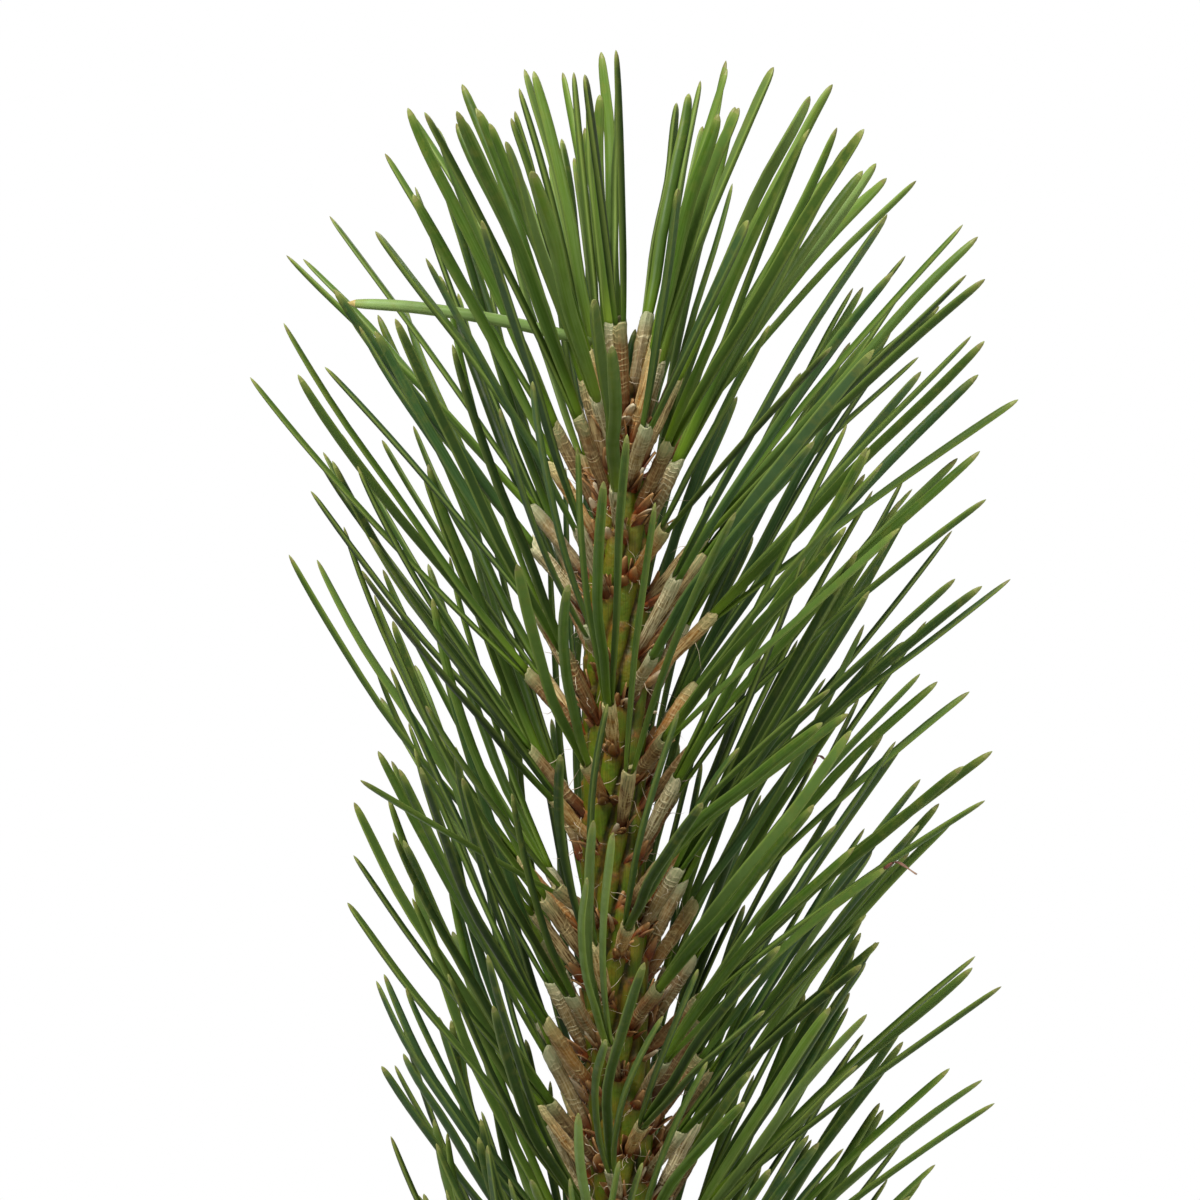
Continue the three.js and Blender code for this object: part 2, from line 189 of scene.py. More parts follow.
@dataclass(frozen=True)
class StemLine:
    """The stem's centre line and the thickness of its wood. Heights run from the ground."""

    ground: float
    height: float = 215.0
    tuft_foot: float = 193.6
    sway: float = 1.2
    sway_length: float = 200.0
    sway_phase: float = 154.0
    sway_across: float = 0.9
    wood: Stations = Stations(
        (0, 2.5, 8, 28, 34, 100, 178, 194), (7.4, 6.2, 5.3, 4.8, 3.9, 3.75, 3.6, 3.3)
    )
    core: Stations = Stations((0, 7, 14, 21, 25, 28.5), (3.9, 3.6, 2.9, 2.0, 1.4, 0.0))

    def centre(self, height: float | Array) -> Array:
        """Give the stem's centre.

        Args:
            height: One height or many.

        Returns:
            The point, or an array of them.
        """
        wave = TURN / self.sway_length
        level = np.asarray(height, float)
        x = self.sway * (math.cos(wave * self.sway_phase) - np.cos(wave * (level - self.sway_phase)))
        y = self.sway_across * np.sin(math.pi * level / self.height)
        return np.stack([x, y, self.ground + level], axis=-1)

    def around(self, height: float | Array, radius: float | Array, azimuth: float | Array) -> Array:
        """Give the point at a radius and an azimuth round the stem.

        Args:
            height: Height above the ground.
            radius: Distance from the centre line.
            azimuth: Angle from +X towards +Y, in radians.

        Returns:
            The point, or an array of them.
        """
        turn = np.asarray(azimuth, float)
        out = np.stack([np.cos(turn), np.sin(turn), np.zeros_like(turn)], axis=-1)
        return self.centre(height) + out * np.asarray(radius, float)[..., None]


@dataclass
class Needle:
    """One needle's line: start + heading * own * s + bend * own * s squared, with s from 0 to 1."""

    start: Array
    heading: Array
    bend: Array
    own: float
    back: Array

    def points(self, shares: Array) -> Array:
        """Give the points at shares of the needle's length."""
        s = np.asarray(shares, float)[:, None]
        return self.start + self.own * (self.heading * s + self.bend * s * s)

    def ways(self, shares: Array) -> Array:
        """Give the directions in which the needle runs at shares of its length."""
        return unit(self.heading + 2 * self.bend * np.asarray(shares, float)[:, None])


@dataclass
class Bundle:
    """A bundle of needles and the papery sheath that holds it."""

    number: int
    in_tuft: bool
    height: float
    azimuth: float
    foot: Array
    mouth: Array
    axis: Array
    across: Array
    inner: Array
    turn: float
    needles: list[Needle]
    count: int

    def out(self, spoke: float) -> Array:
        """Give the way out from the sheath's middle at an angle round it."""
        return self.across * math.cos(spoke) + self.inner * math.sin(spoke)


@dataclass
class Crown:
    """The rule by which needle bundles stand round the stem, as in the part's source."""

    stem: StemLine
    golden_angle: float = 2.39996323
    first: float = 34.0
    pitch: float = 0.9
    rows: int = 8
    storeys: tuple[int, ...] = (7, 7, 8)
    tuft_bundles: int = 23
    heart_bundles: int = 4
    tuft_first: float = 195.0
    tuft_pitch: float = 0.8
    spiral_start: float = 6.2
    thinning: int = 3
    thinned: int = 2
    shedding: int = 2
    bare_from: float = -0.6
    bare_first: int = 110
    cushion_root: float = 0.75
    tuft_root: float = 0.9
    sheath_length: float = 15.5
    sheath_range: Range = (0.9, 1.1)
    sheath_radius: float = 1.35
    needle_sink: float = 1.6
    needle_offset: float = 0.5
    pair_share: float = 0.38
    angles: Stations = Stations((0, 5, 12, 25, 60, 110, 180), (0.13, 0.3, 0.43, 0.55, 0.56, 0.48, 0.42))
    lengths: Stations = Stations((0, 15, 35, 60, 100, 180), (41, 54, 60, 60, 57, 50))
    curls: Stations = Stations((0, 6, 15, 40, 80, 180), (0.0, 0.04, 0.04, 0.0, -0.03, -0.05))
    sweeps: Stations = Stations((0, 25, 60, 100, 180), (0.0, 0.03, 0.075, 0.09, 0.09))
    angle_range: float = 0.2
    lean_range: float = 0.1
    curl_range: float = 0.07
    swing_range: float = 0.05
    bend_range: float = 0.025
    length_range: Range = (0.86, 1.1)
    needle_range: Range = (0.92, 1.04)
    spread_range: Range = (0.03, 0.11)
    heel: float = 0.03
    splay: float = 0.38
    radius: float = 62.0
    needle_reach: float = 1.0
    late_reach: float = 0.8
    sheath_middle: float = 0.45
    sheath_lower_share: float = 0.72
    clearance: float = 0.15
    tuft_ease: float = 0.62
    tries: int = 14
    stretch_shares: tuple[float, ...] = (0.0, 0.62, 1.0)

    @property
    def row_bundles(self) -> int:
        """Count the bundles below the tuft."""
        return self.rows * sum(self.storeys)

    @property
    def total(self) -> int:
        """Count the bundles on the spiral, but for those at the tuft's heart."""
        return self.row_bundles + self.tuft_bundles

    def height_of(self, number: int) -> float:
        """Give a bundle's height above the ground."""
        past = number - self.row_bundles
        return self.tuft_first + self.tuft_pitch * past if past >= 0 else self.first + self.pitch * number

    def azimuth_of(self, number: int) -> float:
        """Give a bundle's azimuth on the spiral."""
        return (self.spiral_start + self.golden_angle * number) % TURN

    def core_radius(self, height: float) -> float:
        """Give the radius of the wood, or of the tuft's core, at a height."""
        stem, in_tuft = self.stem, height >= self.tuft_first
        return float(stem.core.at(height - stem.tuft_foot) if in_tuft else stem.wood.at(height))

    def trimmed(self, start: Array, course: Array, length: float) -> float:
        """Give a needle's length, shortened where its tip would stand out past the crown's radius."""
        tip = start + course * length
        return length / max(1.0, math.hypot(tip[0], tip[1]) / self.radius)

    def draw(self, number: int, draws: Draws) -> Bundle:
        """Draw one bundle.

        Args:
            number: The bundle's number on the spiral.
            draws: Its stream of random numbers.

        Returns:
            The bundle, not yet tested against its neighbours.
        """
        height, azimuth = self.height_of(number), self.azimuth_of(number)
        below = self.stem.height - height
        in_tuft = number >= self.row_bundles
        out = np.array([math.cos(azimuth), math.sin(azimuth), 0.0])
        side = np.array([-math.sin(azimuth), math.cos(azimuth), 0.0])
        angle = float(self.angles.at(below)) + draws.within(self.angle_range)
        angle = angle + self.heel * math.cos(azimuth) + self.splay * max(0.0, -math.sin(azimuth)) ** 2
        lean = draws.within(self.lean_range)
        axis = unit(UP * math.cos(angle) + out * math.sin(angle) + side * lean)
        across = unit(side - axis * axis.dot(side))
        inner = np.cross(axis, across)

        core = self.core_radius(height)
        root = max(0.0, core - self.tuft_root) if in_tuft else core + self.cushion_root
        foot = self.stem.around(height, root, azimuth)
        mouth = foot + axis * self.sheath_length * draws.between(*self.sheath_range)

        count = 2 if draws.step() < self.pair_share else 3
        turn = draws.between(0, TURN)
        length = float(self.lengths.at(below)) * draws.between(*self.length_range)
        curl = float(self.curls.at(below)) + draws.within(self.curl_range)
        swing = draws.within(self.swing_range)
        bundle = Bundle(number, in_tuft, height, azimuth, foot, mouth, axis, across, inner, turn, [], count)
        for k in range(count):
            back = bundle.out(turn + TURN * k / count)
            spread = draws.between(*self.spread_range)
            whole = length * draws.between(*self.needle_range)
            start = mouth - axis * self.needle_sink + back * self.needle_offset
            heading = unit(axis + back * math.tan(spread))
            bend = inner * (draws.within(self.bend_range) - curl)
            bend = bend + across * (draws.within(self.bend_range) + swing)
            bend[0] += float(self.sweeps.at(below))
            own = self.trimmed(start, heading + bend, whole)
            bundle.needles.append(Needle(start, heading, bend, own, back))
        return bundle

    def sheath_stretches(self, bundle: Bundle) -> list[Stretch]:
        """Give the straight stretches that a sheath takes up, with their radii.

        Args:
            bundle: The sheath's bundle.

        Returns:
            Its lower and its upper stretch.
        """
        middle = bundle.foot + (bundle.mouth - bundle.foot) * self.sheath_middle
        slim = self.sheath_radius * self.sheath_lower_share
        return [(bundle.foot, middle, slim), (middle, bundle.mouth, self.sheath_radius)]

    def needle_stretches(self, needle: Needle, reach: float) -> list[Stretch]:
        """Give the straight stretches that a needle takes up, with their radii."""
        line = needle.points(np.array(self.stretch_shares))
        return [(p, q, reach) for p, q in zip(line[:-1], line[1:])]

    def core_stretches(self) -> list[Stretch]:
        """Give the stretches that the tuft's own stem takes up.

        Returns:
            The stretches from its foot to its tip, with their radii.
        """
        places, radii = self.stem.core.places, self.stem.core.values
        stretches = []
        for k in range(len(places) - 1):
            low = places[k] + radii[k] / 2
            high = max(places[k + 1] - radii[k + 1] / 2, low + 1)
            ends = self.stem.centre(np.array([low, high]) + self.stem.tuft_foot)
            stretches.append((ends[0], ends[1], radii[k]))
        return stretches

    def grow(self) -> list[Bundle]:
        """Grow every bundle: first those of the solids, from the bud down, then those left out.

        Returns:
            The bundles, each with the needles that keep clear of the rest.
        """
        core, taken = Taken(), Taken()
        core.add(self.core_stretches(), True)
        numbers = range(self.total - 1, -1, -1)
        early = [i for i in numbers if i % self.thinning != self.thinned]
        late = [i for i in numbers if i % self.thinning == self.thinned and self.stands(i)]
        late += range(self.total, self.total + self.heart_bundles)
        order = [(i, self.needle_reach) for i in early] + [(i, self.late_reach) for i in late]
        settled = [self.settle(number, reach, taken, core) for number, reach in order]
        return [bundle for bundle in settled if bundle is not None]

    def stands(self, number: int) -> bool:
        """Tell whether a bundle that the solids leave out still stands, or has been shed.

        Args:
            number: The bundle's number on the spiral.

        Returns:
            True for all of those in the tuft, and for some below it, but high on the left for none.
        """
        bare = number >= self.bare_first and math.cos(self.azimuth_of(number)) < self.bare_from
        kept = number // self.thinning % self.shedding == 0 and not bare
        return kept or number >= self.row_bundles

    def settle(self, number: int, reach: float, taken: Taken, core: Taken) -> Bundle | None:
        """Draw a bundle until it keeps clear of the rest, or keep its best try.

        Args:
            number: The bundle's number on the spiral.
            reach: The radius that its needles are tested with.
            taken: The space that other bundles take up, which the kept bundle is added to.
            core: The space that the tuft's own stem takes up.

        Returns:
            The bundle, or None if it has no clear needle.
        """
        draws = Draws(number)
        best: Bundle | None = None
        kept: list[Needle] = []
        for _ in range(self.tries):
            bundle = self.draw(number, draws)
            sheath, in_tuft = self.sheath_stretches(bundle), bundle.in_tuft
            if not taken.is_clear(sheath, in_tuft, self):
                continue
            if not in_tuft and not core.is_clear(sheath, in_tuft, self):
                continue
            lines = [(needle, self.needle_stretches(needle, reach)) for needle in bundle.needles]
            clear = [needle for needle, line in lines if taken.is_clear(line, in_tuft, self)]
            if best is None or len(clear) > len(kept):
                best, kept = bundle, clear
            if len(kept) == best.count:
                break
        if not kept:
            return None
        taken.add(self.sheath_stretches(best), best.in_tuft)
        for needle in kept:
            taken.add(self.needle_stretches(needle, reach), best.in_tuft)
        best.needles = kept
        return best


class Taken:
    """Space that has been taken up, as straight stretches with a radius each."""

    PARALLEL = 1e-9

    def __init__(self) -> None:
        """Start with no stretches."""
        self.starts, self.ends = np.zeros((2, 0, 3))
        self.reaches, self.tuft = np.zeros(0), np.zeros(0, bool)

    def add(self, stretches: list[Stretch], in_tuft: bool) -> None:
        """Take up more space.

        Args:
            stretches: The stretches to add.
            in_tuft: Whether they belong to the tuft, whose bundles may crowd each other.
        """
        starts, ends, reaches = zip(*stretches)
        self.starts, self.ends = np.vstack([self.starts, *starts]), np.vstack([self.ends, *ends])
        self.reaches = np.append(self.reaches, reaches)
        self.tuft = np.append(self.tuft, [in_tuft] * len(stretches))

    def is_clear(self, stretches: list[Stretch], in_tuft: bool, rule: Crown) -> bool:
        """Test whether stretches keep clear of what is here.

        Args:
            stretches: The stretches to test.
            in_tuft: Whether they belong to the tuft.
            rule: The crown, for its clearances.

        Returns:
            True if all of them are clear.
        """
        if not len(self.reaches):
            return True
        ease = np.where(self.tuft & in_tuft, rule.tuft_ease, 1.0)
        gaps = self.reaches + rule.clearance
        return not any((self.distances(p, q) < (reach + gaps) * ease).any() for p, q, reach in stretches)

    def distances(self, start: Array, end: Array) -> Array:
        """Measure the shortest distance from one stretch to each of those here.

        Args:
            start: The stretch's start.
            end: Its end.

        Returns:
            One distance for each stretch here.
        """
        own, others, apart = end - start, self.ends - self.starts, start - self.starts
        a, b, c = own @ own, others @ own, apart @ own
        e = np.einsum("ij,ij->i", others, others)
        f = np.einsum("ij,ij->i", others, apart)
        spread = a * e - b * b
        crossing = spread > self.PARALLEL
        s = np.where(crossing, np.clip((b * f - c * e) / np.where(crossing, spread, 1.0), 0, 1), 0.0)
        t = (b * s + f) / e
        s = np.where(t < 0, np.clip(-c / a, 0, 1), np.where(t > 1, np.clip((b - c) / a, 0, 1), s))
        near = start + s[:, None] * own
        return np.linalg.norm(near - self.starts - np.clip(t, 0, 1)[:, None] * others, axis=1)


class Weave:
    """A mesh that is gathered from grids of points, with the values that its materials read."""

    STRIP, SIDES, CAP = (0.05, 0.9), (0.02, 0.96), 0.005

    def __init__(self) -> None:
        """Start with nothing."""
        self.points, self.faces, self.slots, self.maps = [], [], [], []
        self.marks: dict[str, list[Array]] = {}
        self.size = 0

    def put(self, points: Array, faces: Array, slot: int | Array, where: Array, **marks: Array) -> None:
        """Add points and the faces between them.

        Args:
            points: The points, in millimetres.
            faces: Rows of four point numbers, the last two alike on a triangle.
            slot: The material slot of all the faces or of each.
            where: The place of each face's corners on the map, in rows of four pairs.
            **marks: One value for each point, under the name that the materials read.
        """
        self.points.append(points)
        self.faces.append(faces + self.size)
        self.slots.append(np.broadcast_to(slot, len(faces)))
        self.maps.append(where)
        for name, values in marks.items():
            self.marks.setdefault(name, []).append(values)
        self.size += len(points)

    def tube(self, rings: Array, slot: int | Array, strip: Strip, **marks: Array | float) -> None:
        """Add a closed tube.

        Args:
            rings: Rings of points, as an array of rings by points by 3, each anticlockwise round the
                way in which the tube runs.
            slot: The material slot of all the bands between the rings or of each, caps included.
            strip: The number of this tube's strip on the map, and the number of strips in all.
            **marks: One value, a value for each ring, or a grid of rings by points.
        """
        count, corners = rings.shape[:2]
        points = np.vstack([rings.reshape(-1, 3), rings[0].mean(0), rings[-1].mean(0)])
        here = np.arange(corners)
        after, centre, last = (here + 1) % corners, len(points) - 2, (count - 1) * corners
        low = np.arange(count - 1)[:, None] * corners
        sides = np.stack([low + here, low + after, low + corners + after, low + corners + here], 2)
        foot = np.broadcast_arrays(after, here, centre, centre)
        tip = np.broadcast_arrays(last + here, last + after, centre + 1, centre + 1)
        faces = np.vstack([sides.reshape(-1, 4), np.stack(foot, 1), np.stack(tip, 1)])
        each = np.broadcast_to(slot, count - 1)[np.repeat(np.r_[0:count - 1, 0, count - 2], corners)]
        spread = {name: self.over_points(value, count, corners) for name, value in marks.items()}
        self.put(points, faces, each, self.strip_map(count, corners, strip), **spread)

    @staticmethod
    def over_points(value: Array | float, count: int, corners: int) -> Array:
        """Spread a mark over a tube's points.

        Args:
            value: One value, a value for each ring, or a grid.
            count: The number of rings.
            corners: The number of points in a ring.

        Returns:
            One value for each point, those of the caps' centres last.
        """
        grid = np.asarray(value, float)
        grid = np.broadcast_to(grid[:, None] if grid.ndim == 1 else grid, (count, corners))
        return np.append(grid.ravel(), [grid[0].mean(), grid[-1].mean()])

    def strip_map(self, count: int, corners: int, strip: Strip) -> Array:
        """Lay a tube's faces out on a narrow upright strip of the map.

        Args:
            count: The number of rings.
            corners: The number of points in a ring.
            strip: The strip's number, and the number of strips in all.

        Returns:
            The corners' places on the map, face by face.
        """
        (gap, wide), (low, tall) = self.STRIP, self.SIDES
        steps = np.arange(count - 1)[:, None, None] + np.array([0, 0, 1, 1])
        foot, parts = np.array([low, low, self.CAP, self.CAP]), []
        for turn, height in (
            ((0, 1, 1, 0), low + tall * steps / (count - 1)),
            ((1, 0, 0.5, 0.5), foot),
            ((0, 1, 0.5, 0.5), 1 - foot),
        ):
            across = (np.arange(corners)[:, None] + np.array(turn)) / corners
            place = (strip[0] + gap + wide * across) / strip[1]
            parts.append(np.stack(np.broadcast_arrays(place, height), -1).reshape(-1, 4, 2))
        return np.concatenate(parts)

    def object(self, name: str, *materials: bpy.types.Material) -> bpy.types.Object:
        """Make the gathered mesh an object in the scene.

        Args:
            name: The piece's name.
            *materials: Its material slots, in order.

        Returns:
            The new object.
        """
        faces = np.concatenate(self.faces)
        keep = np.ones((len(faces), 4), bool)
        keep[:, 3] = faces[:, 2] != faces[:, 3]
        keep, totals = keep.ravel(), keep.sum(1)
        corners = faces.ravel()[keep]
        mesh = bpy.data.meshes.new(name)
        mesh.vertices.add(self.size)
        mesh.vertices.foreach_set("co", (np.concatenate(self.points) * MM).astype(np.float32).ravel())
        mesh.loops.add(len(corners))
        mesh.loops.foreach_set("vertex_index", corners.astype(np.int32))
        mesh.polygons.add(len(faces))
        mesh.polygons.foreach_set("loop_start", (np.cumsum(totals) - totals).astype(np.int32))
        mesh.polygons.foreach_set("material_index", np.concatenate(self.slots).astype(np.int32))
        mesh.polygons.foreach_set("use_smooth", np.ones(len(faces), bool))
        where = np.concatenate(self.maps).reshape(-1, 2)[keep]
        mesh.uv_layers.new(name=UV_MAP).uv.foreach_set("vector", where.astype(np.float32).ravel())
        for mark, values in self.marks.items():
            made = mesh.attributes.new(mark, "FLOAT", "POINT")
            made.data.foreach_set("value", np.concatenate(values).astype(np.float32))
        mesh.update(calc_edges=True)
        mesh.validate()
        return placed(name, mesh, *materials)


def placed(name: str, data: bpy.types.ID, *materials: bpy.types.Material) -> bpy.types.Object:
    """Put a mesh, a lamp or a camera in the scene.

    Args:
        name: The object's name.
        data: What it shows.
        *materials: A mesh's materials, in order.

    Returns:
        The new object.
    """
    for material in materials:
        data.materials.append(material)
    thing = bpy.data.objects.new(name, data)
    bpy.context.collection.objects.link(thing)
    return thing


def report(thing: bpy.types.Object, slot: str, *nodes: str) -> None:
    """Set a finished piece on the plant's one body and log it.

    Args:
        thing: The piece.
        slot: The record's material slot; not used.
        *nodes: The solids that it stands for.
    """
    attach(thing, "root")
    if nodes:
        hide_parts(*nodes)
    log.info("%s: %d faces, stands for %s", thing.name, len(thing.data.polygons), ", ".join(nodes) or "-")


class Nodes:
    """A node tree, and short ways to add to it."""

    def __init__(self, tree: bpy.types.NodeTree) -> None:
        """Take over a tree."""
        self.tree = tree

    def feed(self, target: Socket, value: Socket | Colour | float) -> None:
        """Link an output to an input, or set the input.

        Args:
            target: The input.
            value: An output, a number, or a colour from 0 to 255.
        """
        if isinstance(value, Socket):
            self.tree.links.new(value, target)
        else:
            target.default_value = linear(value) if isinstance(value, tuple) else value

    def node(self, kind: str, *values: Socket | float, **settings: object) -> bpy.types.Node:
        """Add a node.

        Args:
            kind: Its kind.
            *values: What its first inputs get, in order.
            **settings: Its properties.

        Returns:
            The node.
        """
        made = self.tree.nodes.new("ShaderNode" + kind)
        for name, value in settings.items():
            setattr(made, name, value)
        for target, value in zip(made.inputs, values):
            self.feed(target, value)
        return made

    def work(self, operation: str, *values: Socket | float) -> Socket:
        """Work out one step of arithmetic."""
        return self.node("Math", *values, operation=operation).outputs[0]

    def times(self, first: Socket, second: Socket | float) -> Socket:
        """Multiply two values."""
        return self.work("MULTIPLY", first, second)

    def cloud(
        self, scale: Socket | float, detail: float, rough: float = 0.5, place: Socket | None = None
    ) -> Socket:
        """Add soft noise.

        Args:
            scale: Its scale.
            detail: How many finer layers it has.
            rough: How much the finer layers count.
            place: Where it is read, or None for the surface's own space.

        Returns:
            The noise.
        """
        made = self.node("TexNoise", place or self.node("TexCoord").outputs["Object"])
        for name, value in (("Scale", scale), ("Detail", detail), ("Roughness", rough)):
            self.feed(made.inputs[name], value)
        return made.outputs["Fac"]

    def ramp(
        self, value: Socket, low: Socket | float, high: Socket | float, start: float = 0.0, end: float = 1.0,
        kind: str = "SMOOTHSTEP",
    ) -> Socket:
        """Map a value from one range to another, held at its ends."""
        return self.node("MapRange", value, low, high, start, end, interpolation_type=kind).outputs[0]


class Board(Nodes):
    """The nodes of one material, with its Principled shader."""

    def __init__(self, name: str) -> None:
        """Start a material.

        Args:
            name: The material's name.
        """
        self.material = bpy.data.materials.new(name)
        self.material.use_nodes = True
        super().__init__(self.material.node_tree)
        self.shader = self.tree.nodes["Principled BSDF"]

    def marks(self, *names: str) -> list[Socket]:
        """Read some of the mesh's own values."""
        return [self.node("Attribute", attribute_name=name).outputs["Fac"] for name in names]

    def mix(self, share: Socket | float, first: Socket | Colour, second: Socket | Colour) -> Socket:
        """Mix two colours.

        Args:
            share: The share of the second.
            first: The first colour.
            second: The second colour.

        Returns:
            The mixed colour.
        """
        made = self.node("Mix", share, data_type="RGBA")
        self.feed(made.inputs[6], first)
        self.feed(made.inputs[7], second)
        return made.outputs[2]

    def coats(self, base: Socket | Colour, *coats: tuple[Socket | float, Socket | Colour]) -> Socket:
        """Lay colours over each other.

        Args:
            base: The lowest colour.
            *coats: How much of each further one shows, and its colour.

        Returns:
            The colour that shows in the end.
        """
        for share, colour in coats:
            base = self.mix(share, base, colour)
        return base

    def use(self, effect: Effect, **values: Socket | float) -> Socket:
        """Place a shared effect.

        Args:
            effect: The effect.
            **values: What its inputs get, by their names.

        Returns:
            Its mask.
        """
        made = self.node("Group", node_tree=effect.group())
        for name, value in values.items():
            self.feed(made.inputs[name.capitalize()], value)
        return made.outputs["Mask"]

    def speckle(self, scale: float, low: float, high: float) -> Socket:
        """Place the speckle effect."""
        return self.use(Effect.SPECKLE, scale=scale, low=low, high=high)

    def bump(self, height: Socket, strength: float, distance: float) -> None:
        """Raise the surface by a height that the nodes work out.

        Args:
            height: The height.
            strength: How much of it shows.
            distance: The height of a value of one, in millimetres.
        """
        made = self.node("Bump")
        for name, value in (("Height", height), ("Strength", strength), ("Distance", distance * MM)):
            self.feed(made.inputs[name], value)
        self.feed(self.shader.inputs["Normal"], made.outputs["Normal"])

    def finish(self, base_color: Socket, **values: Socket | float) -> bpy.types.Material:
        """Feed the shader's own inputs, named with underscores.

        Args:
            base_color: The colour.
            **values: The rest.

        Returns:
            The finished material.
        """
        for name, value in {"base_color": base_color, **values}.items():
            self.feed(self.shader.inputs[name.replace("_", " ").title().replace("Ior", "IOR")], value)
        return self.material


def speckle(nodes: Nodes, given: bpy.types.NodeOutputs) -> Socket:
    """Make blotches in the surface's own space."""
    return nodes.ramp(nodes.cloud(given["Scale"], 4.0, 0.6), given["Low"], given["High"], kind="LINEAR")


def fibres(nodes: Nodes, given: bpy.types.NodeOutputs) -> Socket:
    """Make fine lines that run lengthwise.

    Args:
        nodes: The effect's nodes.
        given: Its inputs.

    Returns:
        The mask.
    """
    across = nodes.times(given["Around"], given["Lines"])
    down = nodes.times(given["Along"], given["Length"])
    place = nodes.node("CombineXYZ", across, down).outputs["Vector"]
    return nodes.ramp(nodes.cloud(1.0, 2.0, place=place), 0.38, 0.62, kind="LINEAR")


def bands(nodes: Nodes, given: bpy.types.NodeOutputs) -> Socket:
    """Make uneven rings across a length.

    Args:
        nodes: The effect's nodes.
        given: Its inputs.

    Returns:
        The mask.
    """
    steps = nodes.times(given["Along"], given["Rings"])
    uneven = nodes.times(nodes.cloud(420.0, 3.0), given["Unevenness"])
    return nodes.work("MULTIPLY_ADD", nodes.work("SINE", nodes.work("ADD", steps, uneven)), 0.5, 0.5)


class Effect(Enum):
    """The shared effects that materials place, each with its maker, and its inputs as they are unfed."""

    SPECKLE = (speckle, {"Scale": 500.0, "Low": 0.4, "High": 0.6})
    FIBRES = (fibres, {"Around": 0.0, "Along": 0.0, "Lines": 20.0, "Length": 3.0})
    BANDS = (bands, {"Along": 0.0, "Rings": 20.0, "Unevenness": 1.0})

    def group(self) -> bpy.types.ShaderNodeTree:
        """Give the effect's node group, built the first time that it is asked for.

        Returns:
            The group, whose output is a mask.
        """
        name = self.name.lower()
        if name in bpy.data.node_groups:
            return bpy.data.node_groups[name]
        make, inputs = self.value
        tree = bpy.data.node_groups.new(name, "ShaderNodeTree")
        for label, value in inputs.items():
            made = tree.interface.new_socket(name=label, in_out="INPUT", socket_type="NodeSocketFloat")
            made.default_value = value
        tree.interface.new_socket(name="Mask", in_out="OUTPUT", socket_type="NodeSocketFloat")
        mask = make(Nodes(tree), tree.nodes.new("NodeGroupInput").outputs)
        tree.links.new(mask, tree.nodes.new("NodeGroupOutput").inputs["Mask"])
        return tree


@dataclass(frozen=True)
class NeedleFinish:
    """A needle's waxy green, yellower near the sheath, with fine pale lines along its flat sides and pale
    edges that are partly its own paler margins and partly painted highlight.
    """

    name: str
    back: Colour
    flat: Colour
    base: Colour
    # The pale edge colour: partly the needle's paler margins, partly painted highlight.
    edge: Colour = (142, 162, 76)
    fleck: Colour = (126, 126, 50)
    point: Colour = (142, 152, 72)
    dulling: float = 0.66
    roughness: float = 0.42
    roughening: float = 0.14

    def material(self) -> bpy.types.Material:
        """Build the material.

        Returns:
            The material.
        """
        board = Board(self.name)
        along, around, flat, tone, edge = board.marks("along", "around", "flat", "tone", "edge")
        lines = board.use(Effect.FIBRES, around=around, along=along, lines=22.0, length=4.0)
        patches, flecks = board.speckle(220.0, 0.35, 0.7), board.speckle(520.0, 0.5, 0.72)
        dull = tuple(round(c * self.dulling) for c in self.back)
        board.bump(lines, 0.15, 0.03)
        skin = board.coats(
            self.back,
            (flat, self.flat),
            (board.times(lines, 0.55), self.flat),
            (board.times(patches, 0.24), dull),
            (board.times(tone, 0.8), dull),
            (board.ramp(along, 0.0, 0.24, 0.7, 0.0), self.base),
            # Pale lines along the edges, partly the needle's margins and partly painted highlight.
            (board.times(edge, board.ramp(along, 0.02, 0.15, 0.1, 0.55)), self.edge),
            (board.times(flecks, board.ramp(along, 0.45, 1.0, 0.05, 0.4)), self.fleck),
            (board.ramp(along, 0.93, 1.0, 0.0, 0.6), self.point),
        )
        rough = board.ramp(patches, 0, 1, self.roughness, self.roughness + self.roughening)
        return board.finish(skin, roughness=rough, specular_ior_level=0.22)


@dataclass(frozen=True)
class PlainFinish:
    """A small part's own colour, mottled towards a second one and, on request, fading to its end."""

    name: str
    colour: Colour
    second: Colour
    scale: float = 900.0
    roughness: float = 0.6
    relief: float = 0.05
    end: Colour | None = None

    def material(self) -> bpy.types.Material:
        """Build the material.

        Returns:
            The material.
        """
        board = Board(self.name)
        mottle = board.speckle(self.scale, 0.38, 0.62)
        body = board.mix(mottle, self.colour, self.second)
        if self.end is not None:
            body = board.mix(board.ramp(*board.marks("along"), 0.25, 1.0), body, self.end)
        board.bump(mottle, 0.5, self.relief)
        return board.finish(body, roughness=self.roughness)


